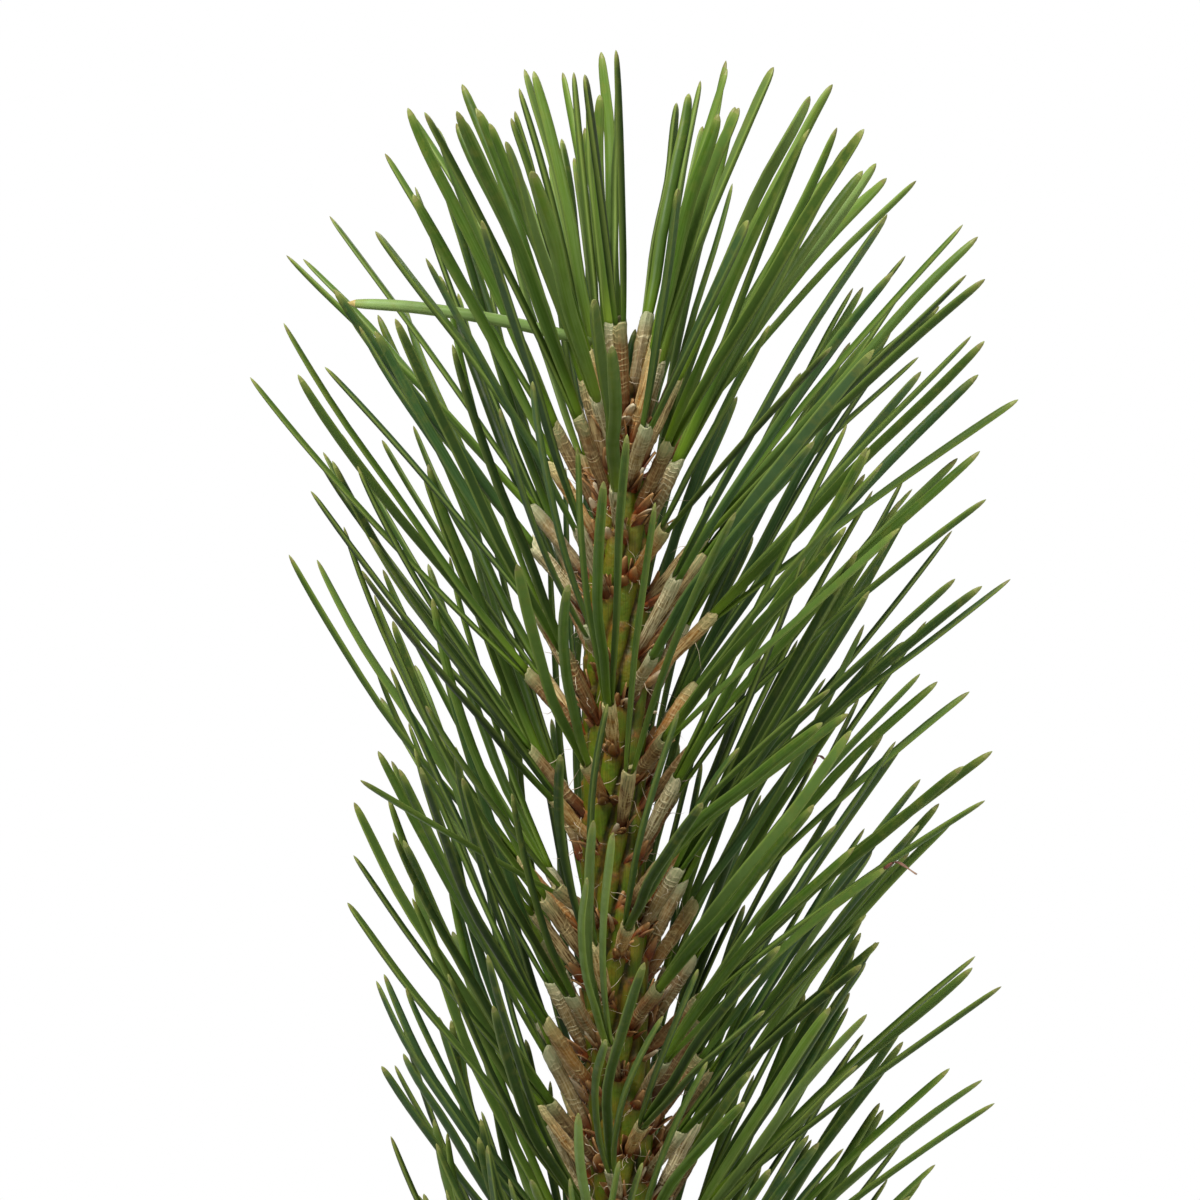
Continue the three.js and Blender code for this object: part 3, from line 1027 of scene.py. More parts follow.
@dataclass(frozen=True)
class PaperFinish:
    """A sheath's thin dry paper: dark at its foot, banded and streaked, greenish where it thins out, with
    painted highlights on its rings' crests and in fine pale streaks.
    """

    name: str
    foot: Colour
    paper: Colour
    mouth: Colour
    dark: Colour
    # The painted highlight on the rings' crests and in fine streaks.
    pale: Colour
    rust: Colour
    rings: float = 110.0
    unevenness: float = 22.0

    def material(self) -> bpy.types.Material:
        """Build the material.

        Returns:
            The material.
        """
        board = Board(self.name)
        along, around, tone = board.marks("along", "around", "tone")
        rings = board.use(Effect.BANDS, along=along, rings=self.rings, unevenness=self.unevenness)
        lines = board.use(Effect.FIBRES, around=around, along=along, lines=9.0, length=1.6)
        fine = board.use(Effect.FIBRES, around=around, along=along, lines=26.0, length=5.0)
        patchy, blots = board.speckle(260.0, 0.46, 0.66), board.speckle(420.0, 0.42, 0.68)
        ragged = board.work("ADD", along, board.times(blots, 0.1))
        # Crests of the rings, which are raised and painted with a highlight.
        low = board.ramp(ragged, 0.12, 0.42)
        highlit_crests = board.times(board.work("POWER", rings, 5.0), low)
        highlit_crests = board.times(highlit_crests, board.ramp(patchy, 0.0, 1.0, 0.12, 0.85))
        # Fine streaks that are painted as highlights, away from the foot.
        highlight_streaks = board.times(fine, board.ramp(tone, 0.0, 0.6, 0.85, 0.25))
        board.bump(board.work("ADD", highlit_crests, board.times(lines, 0.5)), 0.9, 0.16)
        paper = board.coats(
            self.foot,
            (low, self.paper),
            (board.times(blots, 0.72), self.dark),
            (board.times(board.ramp(tone, 0.45, 1.0, 0.1, 0.8), lines), self.rust),
            (board.ramp(ragged, 0.7, 1.0, 0.0, 0.9), self.mouth),
            # The pale colour laid last is a painted highlight on the crests and streaks.
            (highlit_crests, self.pale),
            (board.times(highlight_streaks, low), self.pale),
        )
        return board.finish(paper, roughness=0.55, specular_ior_level=0.35)


@dataclass(frozen=True)
class StemFinish:
    """The shoot's olive bark between brown-tipped cushions, painted dark in the grooves between them and in
    fine lengthwise lines as shade, and scaly bark at its foot.
    """

    name: str = "shoot_bark"
    ridge: Colour = (90, 113, 10)
    # Painted shade for the grooves between the cushions and the fine lines along them.
    groove_shade: Colour = (42, 46, 4)
    stain: Colour = (148, 108, 20)
    tip: Colour = (148, 88, 36)
    scab: Colour = (92, 50, 22)
    old: Colour = (112, 84, 54)
    old_dark: Colour = (62, 44, 30)

    def material(self) -> bpy.types.Material:
        """Build the material.

        Returns:
            The material.
        """
        board = Board(self.name)
        rise, tip, age, around, along = board.marks("rise", "tip", "age", "around", "along")
        blots, flakes = board.speckle(420.0, 0.4, 0.66), board.speckle(900.0, 0.42, 0.58)
        lines = board.use(Effect.FIBRES, around=around, along=along, lines=90.0, length=26.0)
        board.bump(flakes, 0.5, 0.12)
        bark = board.coats(
            self.groove_shade,
            # The cushions' raised parts are olive; the low grooves keep the painted shade.
            (board.ramp(rise, 0.08, 0.6), self.ridge),
            (board.times(blots, 0.45), self.stain),
            # Fine dark lines along the shoot, painted shade as of small grooves.
            (board.times(lines, 0.35), self.groove_shade),
            (board.times(tip, board.ramp(blots, 0, 1, 0.45, 1.0)), board.mix(flakes, self.tip, self.scab)),
            (age, board.mix(flakes, self.old, self.old_dark)),
        )
        return board.finish(bark, roughness=0.5, specular_ior_level=0.35)


@dataclass(frozen=True)
class ClayFinish:
    """Unglazed fired clay with lime bloom, a damp band and fine grit."""

    name: str = "fired_clay"
    clay: Colour = (186, 104, 70)
    dark: Colour = (150, 78, 50)
    grit: Colour = (112, 62, 44)
    bloom: Colour = (214, 188, 168)
    damp: Colour = (122, 62, 42)

    def material(self) -> bpy.types.Material:
        """Build the material.

        Returns:
            The material.
        """
        board = Board(self.name)
        wet, bloom = board.marks("wet", "bloom")
        clouds, grit = board.speckle(26.0, 0.35, 0.7), board.speckle(900.0, 0.55, 0.72)
        lime = board.speckle(60.0, 0.52, 0.75)
        board.bump(grit, 0.5, 0.15)
        clay = board.coats(
            self.clay,
            (clouds, self.dark),
            (board.times(grit, 0.35), self.grit),
            (board.times(lime, bloom), self.bloom),
            (board.times(wet, 0.5), self.damp),
        )
        return board.finish(clay, roughness=0.88, specular_ior_level=0.3)


class Shade(Enum):
    """The greens that needles are dealt, bundle by bundle, with FRESH_LIT partly painted light and
    DEEP_SHADED partly painted shade.
    """

    MID = NeedleFinish("needle_mid", (68, 99, 20), (98, 128, 54), (108, 138, 26))
    # A fresh green, lightened further as painted light falling from above.
    FRESH_LIT = NeedleFinish("needle_fresh_lit", (98, 130, 38), (128, 155, 82), (130, 156, 44))
    # A dark green, partly the needles' own darker tone and partly painted shade.
    DEEP_SHADED = NeedleFinish("needle_deep_shaded", (42, 68, 12), (68, 96, 38), (84, 116, 22))
    BLUE = NeedleFinish("needle_blue", (54, 88, 34), (86, 118, 68), (98, 130, 38))


@dataclass
class NeedleCoat:
    """The needles of one storey as one mesh, each with its own section, twist and tip."""

    radius: dict[int, float] = field(default_factory=lambda: {2: 0.85, 3: 0.95})
    keel: dict[int, float] = field(default_factory=lambda: {2: 0.42, 3: 0.62})
    shares: tuple[float, ...] = (
        0, 0.04, 0.1, 0.18, 0.27, 0.36, 0.45, 0.54, 0.63, 0.72, 0.8, 0.87, 0.92, 0.955, 0.978, 0.992, 1.0
    )
    girth: Stations = Stations(
        (0, 0.1, 0.25, 0.75, 0.88, 0.95, 0.978, 0.992, 1), (0.72, 0.86, 1, 1, 0.93, 0.8, 0.6, 0.36, 0.08)
    )
    tip_from: float = 0.982
    twist: float = 0.9
    # Below the tuft a quarter of the bundles get the DEEP_SHADED green, which is partly painted shade.
    deal: tuple[float, ...] = (0.46, 0.06, 0.25, 0.23)
    sway: float = 0.3
    second_sway: float = 0.25
    sway_waves: Range = (7.5, 15)
    sway_phases: Range = (40, 90)
    sway_start: Range = (0.05, 0.35)
    tip: PlainFinish = PlainFinish("needle_tip", (138, 148, 74), (122, 120, 58), roughness=0.5)

    def section(self, count: int) -> Array:
        """Give a needle's section: a slice of a round bundle with softened edges.

        Args:
            count: How many needles share the bundle.

        Returns:
            The points, as depth towards the back and width.
        """
        half = math.pi / count
        polar = [(0.08, -half), (0.55, -half), (0.9, -half + 0.03), (0.99, -half + 0.2), (1, -half * 0.45)]
        polar += [(1, 0)] + [(r, -a) for r, a in reversed(polar)]
        return np.array([(r * math.cos(a) - self.keel[count], r * math.sin(a)) for r, a in polar])

    def rings(self, needle: Needle, count: int, twist: float) -> Array:
        """Set the section along a needle's line.

        Args:
            needle: The needle.
            count: How many needles share its bundle.
            twist: How far it turns about itself from root to tip, in radians.

        Returns:
            The rings of points, root first.
        """
        shares = np.array(self.shares)
        facing, aside = upright(needle.ways(shares), needle.back)
        slow, quick = (shares * w + twist * p for w, p in zip(self.sway_waves, self.sway_phases))
        waves = np.sin(slow) + self.second_sway * np.sin(quick)
        swing = self.sway * waves * smooth(*self.sway_start, shares)
        turn = (twist * shares)[:, None]
        depth = facing * np.cos(turn) + aside * np.sin(turn)
        width = aside * np.cos(turn) - facing * np.sin(turn)
        line = needle.points(shares) + aside * swing[:, None]
        return swept(line, depth, width, self.section(count), self.girth.at(shares) * self.radius[count])

    def lay(
        self, weave: Weave, rings: Array, shares: Array, slots: tuple[int, int], strip: Strip,
        tone: float, start: float = 0.0,
    ) -> None:
        """Add one needle to a mesh.

        Args:
            weave: The mesh.
            rings: The needle's rings.
            shares: Their places along it.
            slots: The material slots of its body and of its tip.
            strip: Its strip on the map and the number of strips.
            tone: How dull its green is, from 0 to 1.
            start: The share of a whole needle at which it starts.
        """
        flat = np.array([1, 1, 0.8, 0.1, 0, 0, 0, 0.1, 0.8, 1, 1], float)
        # Marks the section's edges, where a pale line is painted, partly as highlight.
        edge = np.array([0, 0, 1, 0.6, 0, 0, 0, 0.6, 1, 0, 0], float)
        around = np.arange(len(flat)) / len(flat) + strip[0]
        in_tip = (shares[:-1] + shares[1:]) / 2 > self.tip_from
        along = shares * (1 - start) + start
        kinds = np.where(in_tip, slots[1], slots[0])
        weave.tube(
            rings, kinds, strip, along=along, around=around[None], flat=flat[None], edge=edge[None], tone=tone
        )

    def build(self, name: str, bundles: list[Bundle], chance: Chance) -> bpy.types.Object:
        """Build the needles of some bundles as one piece.

        Args:
            name: The piece's name.
            bundles: The bundles.
            chance: Random numbers for shades and twists.

        Returns:
            The piece.
        """
        weave, shares, number = Weave(), np.array(self.shares), 0
        total = sum(len(bundle.needles) for bundle in bundles)
        for bundle in bundles:
            kind = int(chance.choice(len(Shade), p=self.deal))
            for needle in bundle.needles:
                rings = self.rings(needle, bundle.count, float(chance.uniform(-self.twist, self.twist)))
                self.lay(weave, rings, shares, (kind, len(Shade)), (number, total), chance.random())
                number += 1
        return weave.object(name, *(shade.value.material() for shade in Shade), self.tip.material())


class Paper(Enum):
    """The papers that sheaths are dealt, bundle by bundle."""

    # Each paper's fifth colour is its painted highlight.
    GREY = PaperFinish(
        "sheath_grey",
        (102, 50, 18), (134, 112, 64), (160, 168, 124), (58, 42, 16), (232, 218, 172), (152, 100, 48)
    )
    AMBER = PaperFinish(
        "sheath_amber",
        (128, 60, 16), (170, 118, 50), (172, 170, 112), (84, 50, 14), (248, 224, 160), (184, 106, 36)
    )
    BROWN = PaperFinish(
        "sheath_brown",
        (90, 40, 12), (106, 74, 34), (138, 146, 96), (44, 30, 8), (212, 188, 132), (136, 74, 28)
    )


@dataclass
class SheathCoat:
    """The papery sheaths at the feet of the needle bundles, with their frayed mouths."""

    girth: Stations = Stations((0, 0.06, 0.25, 0.55, 0.85, 1), (0.84, 0.72, 0.88, 1.04, 1.08, 0.95))
    rings: int = 30
    corners: int = 14
    wrinkle: float = 0.03
    wrinkles_each: float = 9.2
    wrinkled_from: Range = (0.1, 0.3)
    bulge: float = 0.05
    girth_range: Range = (0.9, 1.06)
    grain: float = 0.018
    fray: float = 1.3
    jag: float = 0.15
    lip: float = 0.5
    lip_radius: float = 0.8
    shares: tuple[float, ...] = (0.42, 0.24, 0.34)

    def build(self, name: str, bundles: list[Bundle], chance: Chance) -> bpy.types.Object:
        """Build the sheaths of some bundles as one piece.

        Args:
            name: The piece's name.
            bundles: The bundles.
            chance: Random numbers for wrinkles and frayed rims.

        Returns:
            The piece.
        """
        weave = Weave()
        for number, bundle in enumerate(bundles):
            self.sheath(weave, bundle, (number, len(bundles)), chance)
        return weave.object(name, *(paper.value.material() for paper in Paper))

    def sheath(self, weave: Weave, bundle: Bundle, strip: Strip, chance: Chance) -> None:
        """Add one sheath: a wrinkled tube that ends in an uneven lip turned in among the needles.

        Args:
            weave: The mesh that it is added to.
            bundle: The bundle that it holds.
            strip: Its strip on the map and the number of strips.
            chance: Random numbers for its shape.
        """
        shares = np.linspace(0, 1, self.rings)
        turn = bundle.turn + spin(self.corners)
        spokes = bundle.across * np.cos(turn)[:, None] + bundle.inner * np.sin(turn)[:, None]
        phase = chance.uniform(0, TURN, 4)
        climb = shares[:, None] * float(np.linalg.norm(bundle.mouth - bundle.foot))
        waves = climb * self.wrinkles_each + phase[0] + 1.6 * np.sin(turn + phase[1])
        waves = waves + 1.5 * np.sin(climb * 1.3 + phase[2])
        bulge = np.sin(climb * 0.9 + phase[3]) * np.cos(turn - bundle.turn + phase[1]) * self.bulge
        size = self.girth.at(shares)[:, None] * chance.uniform(*self.girth_range)
        radius = size + (self.wrinkle * np.sin(waves) + bulge) * smooth(*self.wrinkled_from, shares)[:, None]
        radius = radius + chance.normal(0, self.grain, radius.shape)
        frayed = -self.fray * (0.5 + 0.4 * np.sin(turn + phase[2]) + 0.25 * np.sin(2 * turn + phase[3]))
        frayed = frayed + chance.uniform(-self.jag, self.jag, self.corners) * self.fray
        rise = climb + smooth(0.86, 1.0, shares)[:, None] * frayed
        rise = np.vstack([rise, rise[-1:] - self.lip])
        radius = np.vstack([radius, radius[-1:] * self.lip_radius])
        rings = bundle.foot + bundle.axis * rise[..., None] + spokes * radius[..., None]
        around = (np.arange(self.corners) / self.corners + strip[0])[None]
        tone = chance.random()
        kind = int(chance.choice(len(Paper), p=self.shares))
        weave.tube(rings, kind, strip, along=np.append(shares, 0.98), around=around, tone=tone)


@dataclass(frozen=True)
class Blade:
    """The kind of one dry scale: how long and wide it is, and how it stands."""

    length: Range
    half: float
    lift: Range
    curl: Range
    clasps: bool


class Scale(Enum):
    """The dry scales that stand at the foot of each bundle."""

    CLASPING = Blade((3.0, 6.0), 1.1, (0.06, 0.26), (-0.25, 0.35), True)
    FLAKE = Blade((2.2, 4.2), 1.1, (0.35, 0.85), (-0.2, 0.9), False)
    BRACT = Blade((3.5, 7.0), 0.5, (0.45, 0.95), (-0.4, 0.5), False)


@dataclass
class Flakes:
    """Dry scales at the bundles' feet, and pale threads that hang about them."""

    kinds: tuple[Scale, ...] = (Scale.CLASPING,) * 3 + (Scale.FLAKE,) * 2 + (Scale.BRACT,)
    bract_share: float = 0.35
    thickness: float = 0.1
    clasp_root: float = 0.72
    stand_off: Range = (0.2, 0.5)
    fan: float = 0.4
    drop: Range = (0.2, 1.8)
    drift: float = 0.6
    cup: Range = (0.05, 0.35)
    width_range: Range = (0.75, 1.2)
    deal: tuple[float, ...] = (0.5, 0.33, 0.17)
    dry: tuple[PlainFinish, ...] = (
        PlainFinish("scale_rust", (150, 76, 30), (92, 42, 20), roughness=0.45, end=(190, 144, 90)),
        PlainFinish("scale_brown", (118, 68, 34), (76, 42, 22), roughness=0.5, end=(190, 144, 90)),
        PlainFinish("scale_pale", (188, 150, 98), (144, 100, 56), roughness=0.5, end=(220, 204, 170)),
    )
    thread: PlainFinish = PlainFinish("thread", (220, 208, 182), (190, 166, 134), 1500.0)
    thread_radius: float = 0.07
    thread_length: Range = (1.0, 4.6)
    thread_root: float = 0.9
    thread_out: Range = (0.4, 1.2)
    thread_up: Range = (-0.6, 1.0)
    thread_bow: Range = (0.6, 2.2)
    thread_coil: Range = (0.05, 0.35)
    thread_turns: Range = (4, 11)
    threads_each: int = 7

    def strip(self, line: Array, out: Array, widths: Array, cup: float) -> Array:
        """Make the rings of a thin cupped blade.

        Args:
            line: The blade's centre line.
            out: The way in which its outer side faces.
            widths: Half its width at each point.
            cup: How far its edges turn inwards.

        Returns:
            Rings of eight points.
        """
        facing, aside = upright(unit(np.gradient(line, axis=0)), out)
        half = self.thickness / 2
        depth = np.array([-half * 0.4, -half, -cup, half, half * 1.6, half, -cup, -half])
        width = widths[:, None] * np.array([0, 0.55, 1.0, 0.5, 0, -0.5, -1.0, -0.55])
        return line[:, None, :] + facing[:, None, :] * depth[:, None] - aside[:, None, :] * width[..., None]

    def course(
        self, crown: Crown, bundle: Bundle, blade: Blade, shares: Array, chance: Chance
    ) -> tuple[Array, Array]:
        """Draw the line of one scale.

        Args:
            crown: The crown, for the stem that it stands on.
            bundle: The bundle that it stands by.
            blade: The scale's kind.
            shares: The shares of its length to draw.
            chance: Random numbers for its size and curl.

        Returns:
            The line's points, and the way in which the scale's outer side faces.
        """
        if blade.clasps:
            out = bundle.out(chance.uniform(0, TURN))
            start, along = bundle.foot + out * self.clasp_root + bundle.axis * 0.2, bundle.axis
        else:
            turn = bundle.azimuth + chance.uniform(-self.fan, self.fan)
            out = np.array([math.cos(turn), math.sin(turn), 0.0])
            root = crown.core_radius(bundle.height) + self.stand_off[0 if bundle.in_tuft else 1]
            start, along = crown.stem.around(bundle.height - chance.uniform(*self.drop), root, turn), UP
        aside = np.cross(out, along) * chance.uniform(-self.drift, self.drift)
        angle = chance.uniform(*blade.lift) + chance.uniform(*blade.curl) * shares
        step = chance.uniform(*blade.length) / (len(shares) - 1)
        away, up = (np.cumsum(np.append(0, part)) * step for part in (np.sin(angle[:-1]), np.cos(angle[:-1])))
        line = start + out * away[:, None] + along * up[:, None] + aside * (shares**2)[:, None]
        return line, out - along * 0.3

    def scales(self, name: str, crown: Crown, bundles: list[Bundle], chance: Chance) -> bpy.types.Object:
        """Build the dry scales round the foot of each bundle.

        Args:
            name: The piece's name.
            crown: The crown, for the stem that they stand on.
            bundles: The bundles.
            chance: Random numbers for sizes and curls.

        Returns:
            The piece.
        """
        weave, shares = Weave(), np.linspace(0, 1, 9)
        each = [(bundle, kind) for bundle in bundles for kind in self.kinds]
        taper = np.sqrt(np.clip(1.02 - shares, 0, 1)) * smooth(-0.5, 0.25, shares)
        for number, (bundle, kind) in enumerate(each):
            if kind is Scale.BRACT and chance.random() > self.bract_share:
                continue
            line, facing = self.course(crown, bundle, kind.value, shares, chance)
            widths = kind.value.half * chance.uniform(*self.width_range) * taper
            rings = self.strip(line, facing, widths, chance.uniform(*self.cup))
            slot = int(chance.choice(len(self.deal), p=self.deal))
            weave.tube(rings, slot, (number, len(each)), along=shares)
        return weave.object(name, *(finish.material() for finish in self.dry))

    def threads(self, name: str, bundles: list[Bundle], chance: Chance) -> bpy.types.Object:
        """Build the pale threads that stand out of the sheaths.

        Args:
            name: The piece's name.
            bundles: The bundles.
            chance: Random numbers for places and curls.

        Returns:
            The piece.
        """
        weave, shares = Weave(), np.linspace(0, 1, 11)
        total = self.threads_each * len(bundles)
        for number in range(total):
            bundle = bundles[number // self.threads_each]
            share = chance.uniform(0.0, 0.95) ** 3
            out = bundle.out(chance.uniform(0, TURN))
            start = bundle.foot + (bundle.mouth - bundle.foot) * share + out * self.thread_root
            way = unit(out * chance.uniform(*self.thread_out) + bundle.axis * chance.uniform(*self.thread_up))
            curve = unit(chance.normal(0, 1, 3)) * chance.uniform(*self.thread_bow)
            length = chance.uniform(*self.thread_length)
            line = start + way * (shares * length)[:, None] + curve * (shares**2)[:, None]
            coil = chance.uniform(*self.thread_coil) * smooth(0, 0.3, shares)
            phase = chance.uniform(0, 6.28) + shares * chance.uniform(*self.thread_turns)
            line = line + bundle.across * (coil * np.cos(phase))[:, None]
            line = line + bundle.inner * (coil * np.sin(phase))[:, None]
            rings = wire(line, UP + 0.01, oval(3), self.thread_radius * (1.05 - shares))
            weave.tube(rings, 0, (number, total), along=shares)
        return weave.object(name, self.thread.material())


@dataclass
class StemCoat:
    """The stem's bark: overlapping leaf cushions on the shoot, flaking bark at its foot, and the bud."""

    crown: Crown
    columns: int = 108
    step: float = 0.38
    cushion_rise: float = 1.0
    cushion_length: float = 10.5
    cushion_top: float = 0.7
    shoot_skin: float = 0.42
    foot_skin: float = -0.15
    core_skin: float = -0.25
    least_core: float = 0.8
    shoot_from: Range = (27, 36)
    tuft_from: Range = (191, 197)
    old_until: Range = (26, 40)
    cushions_from: Range = (24, 38)
    flatter_from: Range = (194, 206)
    flatter_by: float = 0.45
    cushion_half: Stations = Stations((-1, 1, 3, 7, 12), (1.2, 1.72, 1.7, 1.35, 0.7))
    top: float = 219.0
    bark_top: float = 44.0
    plate_round: float = 1.9
    plate_run: float = 0.22
    plate_depth: float = 0.9
    plate_sink: float = 0.2
    bud: Stations = Stations((0.35, 0.8, 1.3, 1.9, 2.6, 3.1), (1.3, 1.25, 1.1, 0.85, 0.5, 0.12))

    def base_radius(self, heights: Array) -> Array:
        """Give the radius in the grooves between the cushions.

        Args:
            heights: The rings' heights.

        Returns:
            One radius for each.
        """
        stem = self.crown.stem
        shoot, foot = stem.wood.at(heights) + self.shoot_skin, stem.wood.at(heights) + self.foot_skin
        core = np.maximum(stem.core.at(heights - stem.tuft_foot) + self.core_skin, self.least_core)
        radius = foot + (shoot - foot) * smooth(*self.shoot_from, heights)
        return radius + (core - radius) * smooth(*self.tuft_from, heights)

    def relief(self, heights: Array, turns: Array) -> tuple[Array, Array]:
        """Work out how far the cushions stand out.

        Args:
            heights: The rings' heights.
            turns: The columns' azimuths.

        Returns:
            The rise from 0 to 1, and how brown each point is as a cushion's tip.
        """
        rise, tip = np.zeros((2, len(heights), len(turns)))
        crown, length = self.crown, self.cushion_length
        twist = (crown.golden_angle * crown.rows) % TURN / (crown.rows * crown.pitch)
        radius = self.base_radius(heights)
        for number in range(crown.total):
            top = crown.height_of(number) + self.cushion_top
            rows = np.nonzero((heights > top - length - 2) & (heights < top + 1))[0]
            below = (top - heights[rows])[:, None]
            lead = crown.azimuth_of(number) - twist * below
            apart = (turns[None, :] - lead + math.pi) % TURN - math.pi
            arc = np.abs(apart) * (radius[rows, None] + 0.6)
            crest = np.sqrt(np.clip(1 - (arc / self.cushion_half.at(below)) ** 2, 0, 1))
            course = smooth(-0.45, 0.35, below) * (1 - 0.5 * smooth(0.5, length, below))
            bump = crest * (course * (1 - smooth(length - 2, length + 1.5, below)))
            rise[rows] = np.maximum(rise[rows], bump)
            brown = (1 - smooth(0.3, 2.6, below)) * smooth(0.15, 0.5, bump)
            tip[rows] = np.maximum(tip[rows], brown)
        return rise, tip

    def plates(self, heights: Array, turns: Array) -> Array:
        """Work out the flaking bark's relief at the stem's foot.

        Args:
            heights: The rings' heights.
            turns: The columns' azimuths.

        Returns:
            The relief of each point, in millimetres.
        """
        rough = np.zeros((len(heights), len(turns)))
        for i in np.nonzero(heights < self.bark_top)[0]:
            for j, turn in enumerate(turns):
                x, y = math.cos(turn) * self.plate_round, math.sin(turn) * self.plate_round
                place = Vector((x, y, heights[i] * self.plate_run))
                flake = abs(noise.noise(place * 1.6) + 0.5 * noise.noise(place * 4.1))
                rough[i, j] = flake * self.plate_depth - self.plate_sink
        return rough

    def build(self, name: str) -> bpy.types.Object:
        """Build the bark as one closed piece, with the bud as its top.

        Args:
            name: The piece's name.

        Returns:
            The piece.
        """
        stem, turns = self.crown.stem, spin(self.columns)
        heights = np.arange(0.3, self.top, self.step)
        levels = np.append(heights, self.top + np.array(self.bud.places))
        rise, tip = self.relief(heights, turns)
        age = 1 - smooth(*self.old_until, heights)
        swell = self.cushion_rise * (1 - self.flatter_by * smooth(*self.flatter_from, heights))
        swell = swell * smooth(*self.cushions_from, heights)
        out = self.base_radius(heights)[:, None] + rise * swell[:, None]
        out = out + self.plates(heights, turns) * (age * 0.9)[:, None]
        cap = np.repeat(np.array(self.bud.values)[:, None], self.columns, 1)
        rings = stem.around(levels[:, None], np.vstack([out, cap]), turns[None, :])
        shade = np.full(cap.shape, 0.5)
        weave = Weave()
        weave.tube(
            rings, 0, (0, 1), rise=np.vstack([rise, shade]), tip=np.vstack([tip, shade]),
            age=np.append(age, shade[:, 0]), along=levels / self.top, around=np.sin(turns * 0.5)[None],
        )
        return weave.object(name, StemFinish().material())


@dataclass
class StrayNeedle:
    """The pale needle that has slipped sideways and lies across the top of the shoot."""

    route: tuple[Place, ...] = (
        (-4.4, -2.4, 325.6), (-8.0, -5.4, 326.5), (-14.0, -7.9, 328.0),
        (-22.5, -8.8, 329.6), (-32.0, -8.4, 330.9), (-40.2, -7.6, 331.2),
    )
    half: float = 0.95
    smoothing: int = 6
    start: float = 0.3
    pale: NeedleFinish = NeedleFinish("needle_pale", (122, 150, 80), (148, 174, 104), (136, 160, 84))
    tip: PlainFinish = PlainFinish("needle_tip_pale", (206, 190, 120), (176, 150, 84), roughness=0.5)

    def build(self, name: str) -> bpy.types.Object:
        """Build the needle along its route.

        Args:
            name: The piece's name.

        Returns:
            The piece.
        """
        knots, shares = np.array(self.route), np.linspace(0, 1, 30)
        line = np.stack([np.interp(shares, np.linspace(0, 1, len(knots)), knots[:, k]) for k in range(3)], 1)
        for _ in range(self.smoothing):
            line[1:-1] = (line[:-2] + 2 * line[1:-1] + line[2:]) / 4
        coat, weave = NeedleCoat(), Weave()
        facing, aside = upright(unit(np.gradient(line, axis=0)), np.array([0, -1.0, 0.25]))
        rings = swept(line, facing, aside, coat.section(2), coat.girth.at(shares) * self.half)
        coat.lay(weave, rings, shares, (0, 1), (0, 1), 0.0, self.start)
        return weave.object(name, self.pale.material(), self.tip.material())


@dataclass
class DeadTips:
    """Withered brown ends that curl off the needles nearest three places at the crown's side."""

    places: tuple[Range, ...] = ((38.5, 251.5), (34.5, 261.0), (20.0, 206.0))
    length: float = 6.0
    radius: float = 0.48
    overlap: float = 0.8
    curled_from: Range = (0.2, 0.6)
    curls: Range = (1.1, 1.5)
    taper: float = 0.62
    lumpiness: float = 0.25
    squash: float = 0.45
    finish: PlainFinish = PlainFinish("withered", (118, 64, 44), (82, 44, 32), end=(150, 116, 92))

    def build(self, name: str, bundles: list[Bundle]) -> bpy.types.Object:
        """Build the withered ends as one piece.

        Args:
            name: The piece's name.
            bundles: The crown's bundles.

        Returns:
            The piece.
        """
        weave, shares, end = Weave(), np.linspace(0, 1, 16), np.array([1.0])
        needles = [needle for bundle in bundles for needle in bundle.needles]
        tips = np.array([needle.points(end)[0] for needle in needles])
        for number, (x, z) in enumerate(self.places):
            near = int(np.argmin(np.hypot(tips[:, 0] - x, tips[:, 2] - z)))
            way = needles[near].ways(end)[0]
            down = unit(np.cross(way, np.cross(way, UP)))
            angle = smooth(*self.curled_from, shares) * self.curls[number % 2]
            steps = way * np.cos(angle)[:, None] + down * np.sin(angle)[:, None]
            line = tips[near] - way * self.overlap + np.cumsum(steps, axis=0) * self.length / len(shares)
            size = self.radius * (1 - self.taper * shares) * (1 + self.lumpiness * np.sin(shares * 14))
            rings = wire(line, way + down * 0.3 + UP * 0.01, oval(6, self.squash), size)
            weave.tube(rings, 0, (number, len(self.places)), along=shares)
        return weave.object(name, self.finish.material())


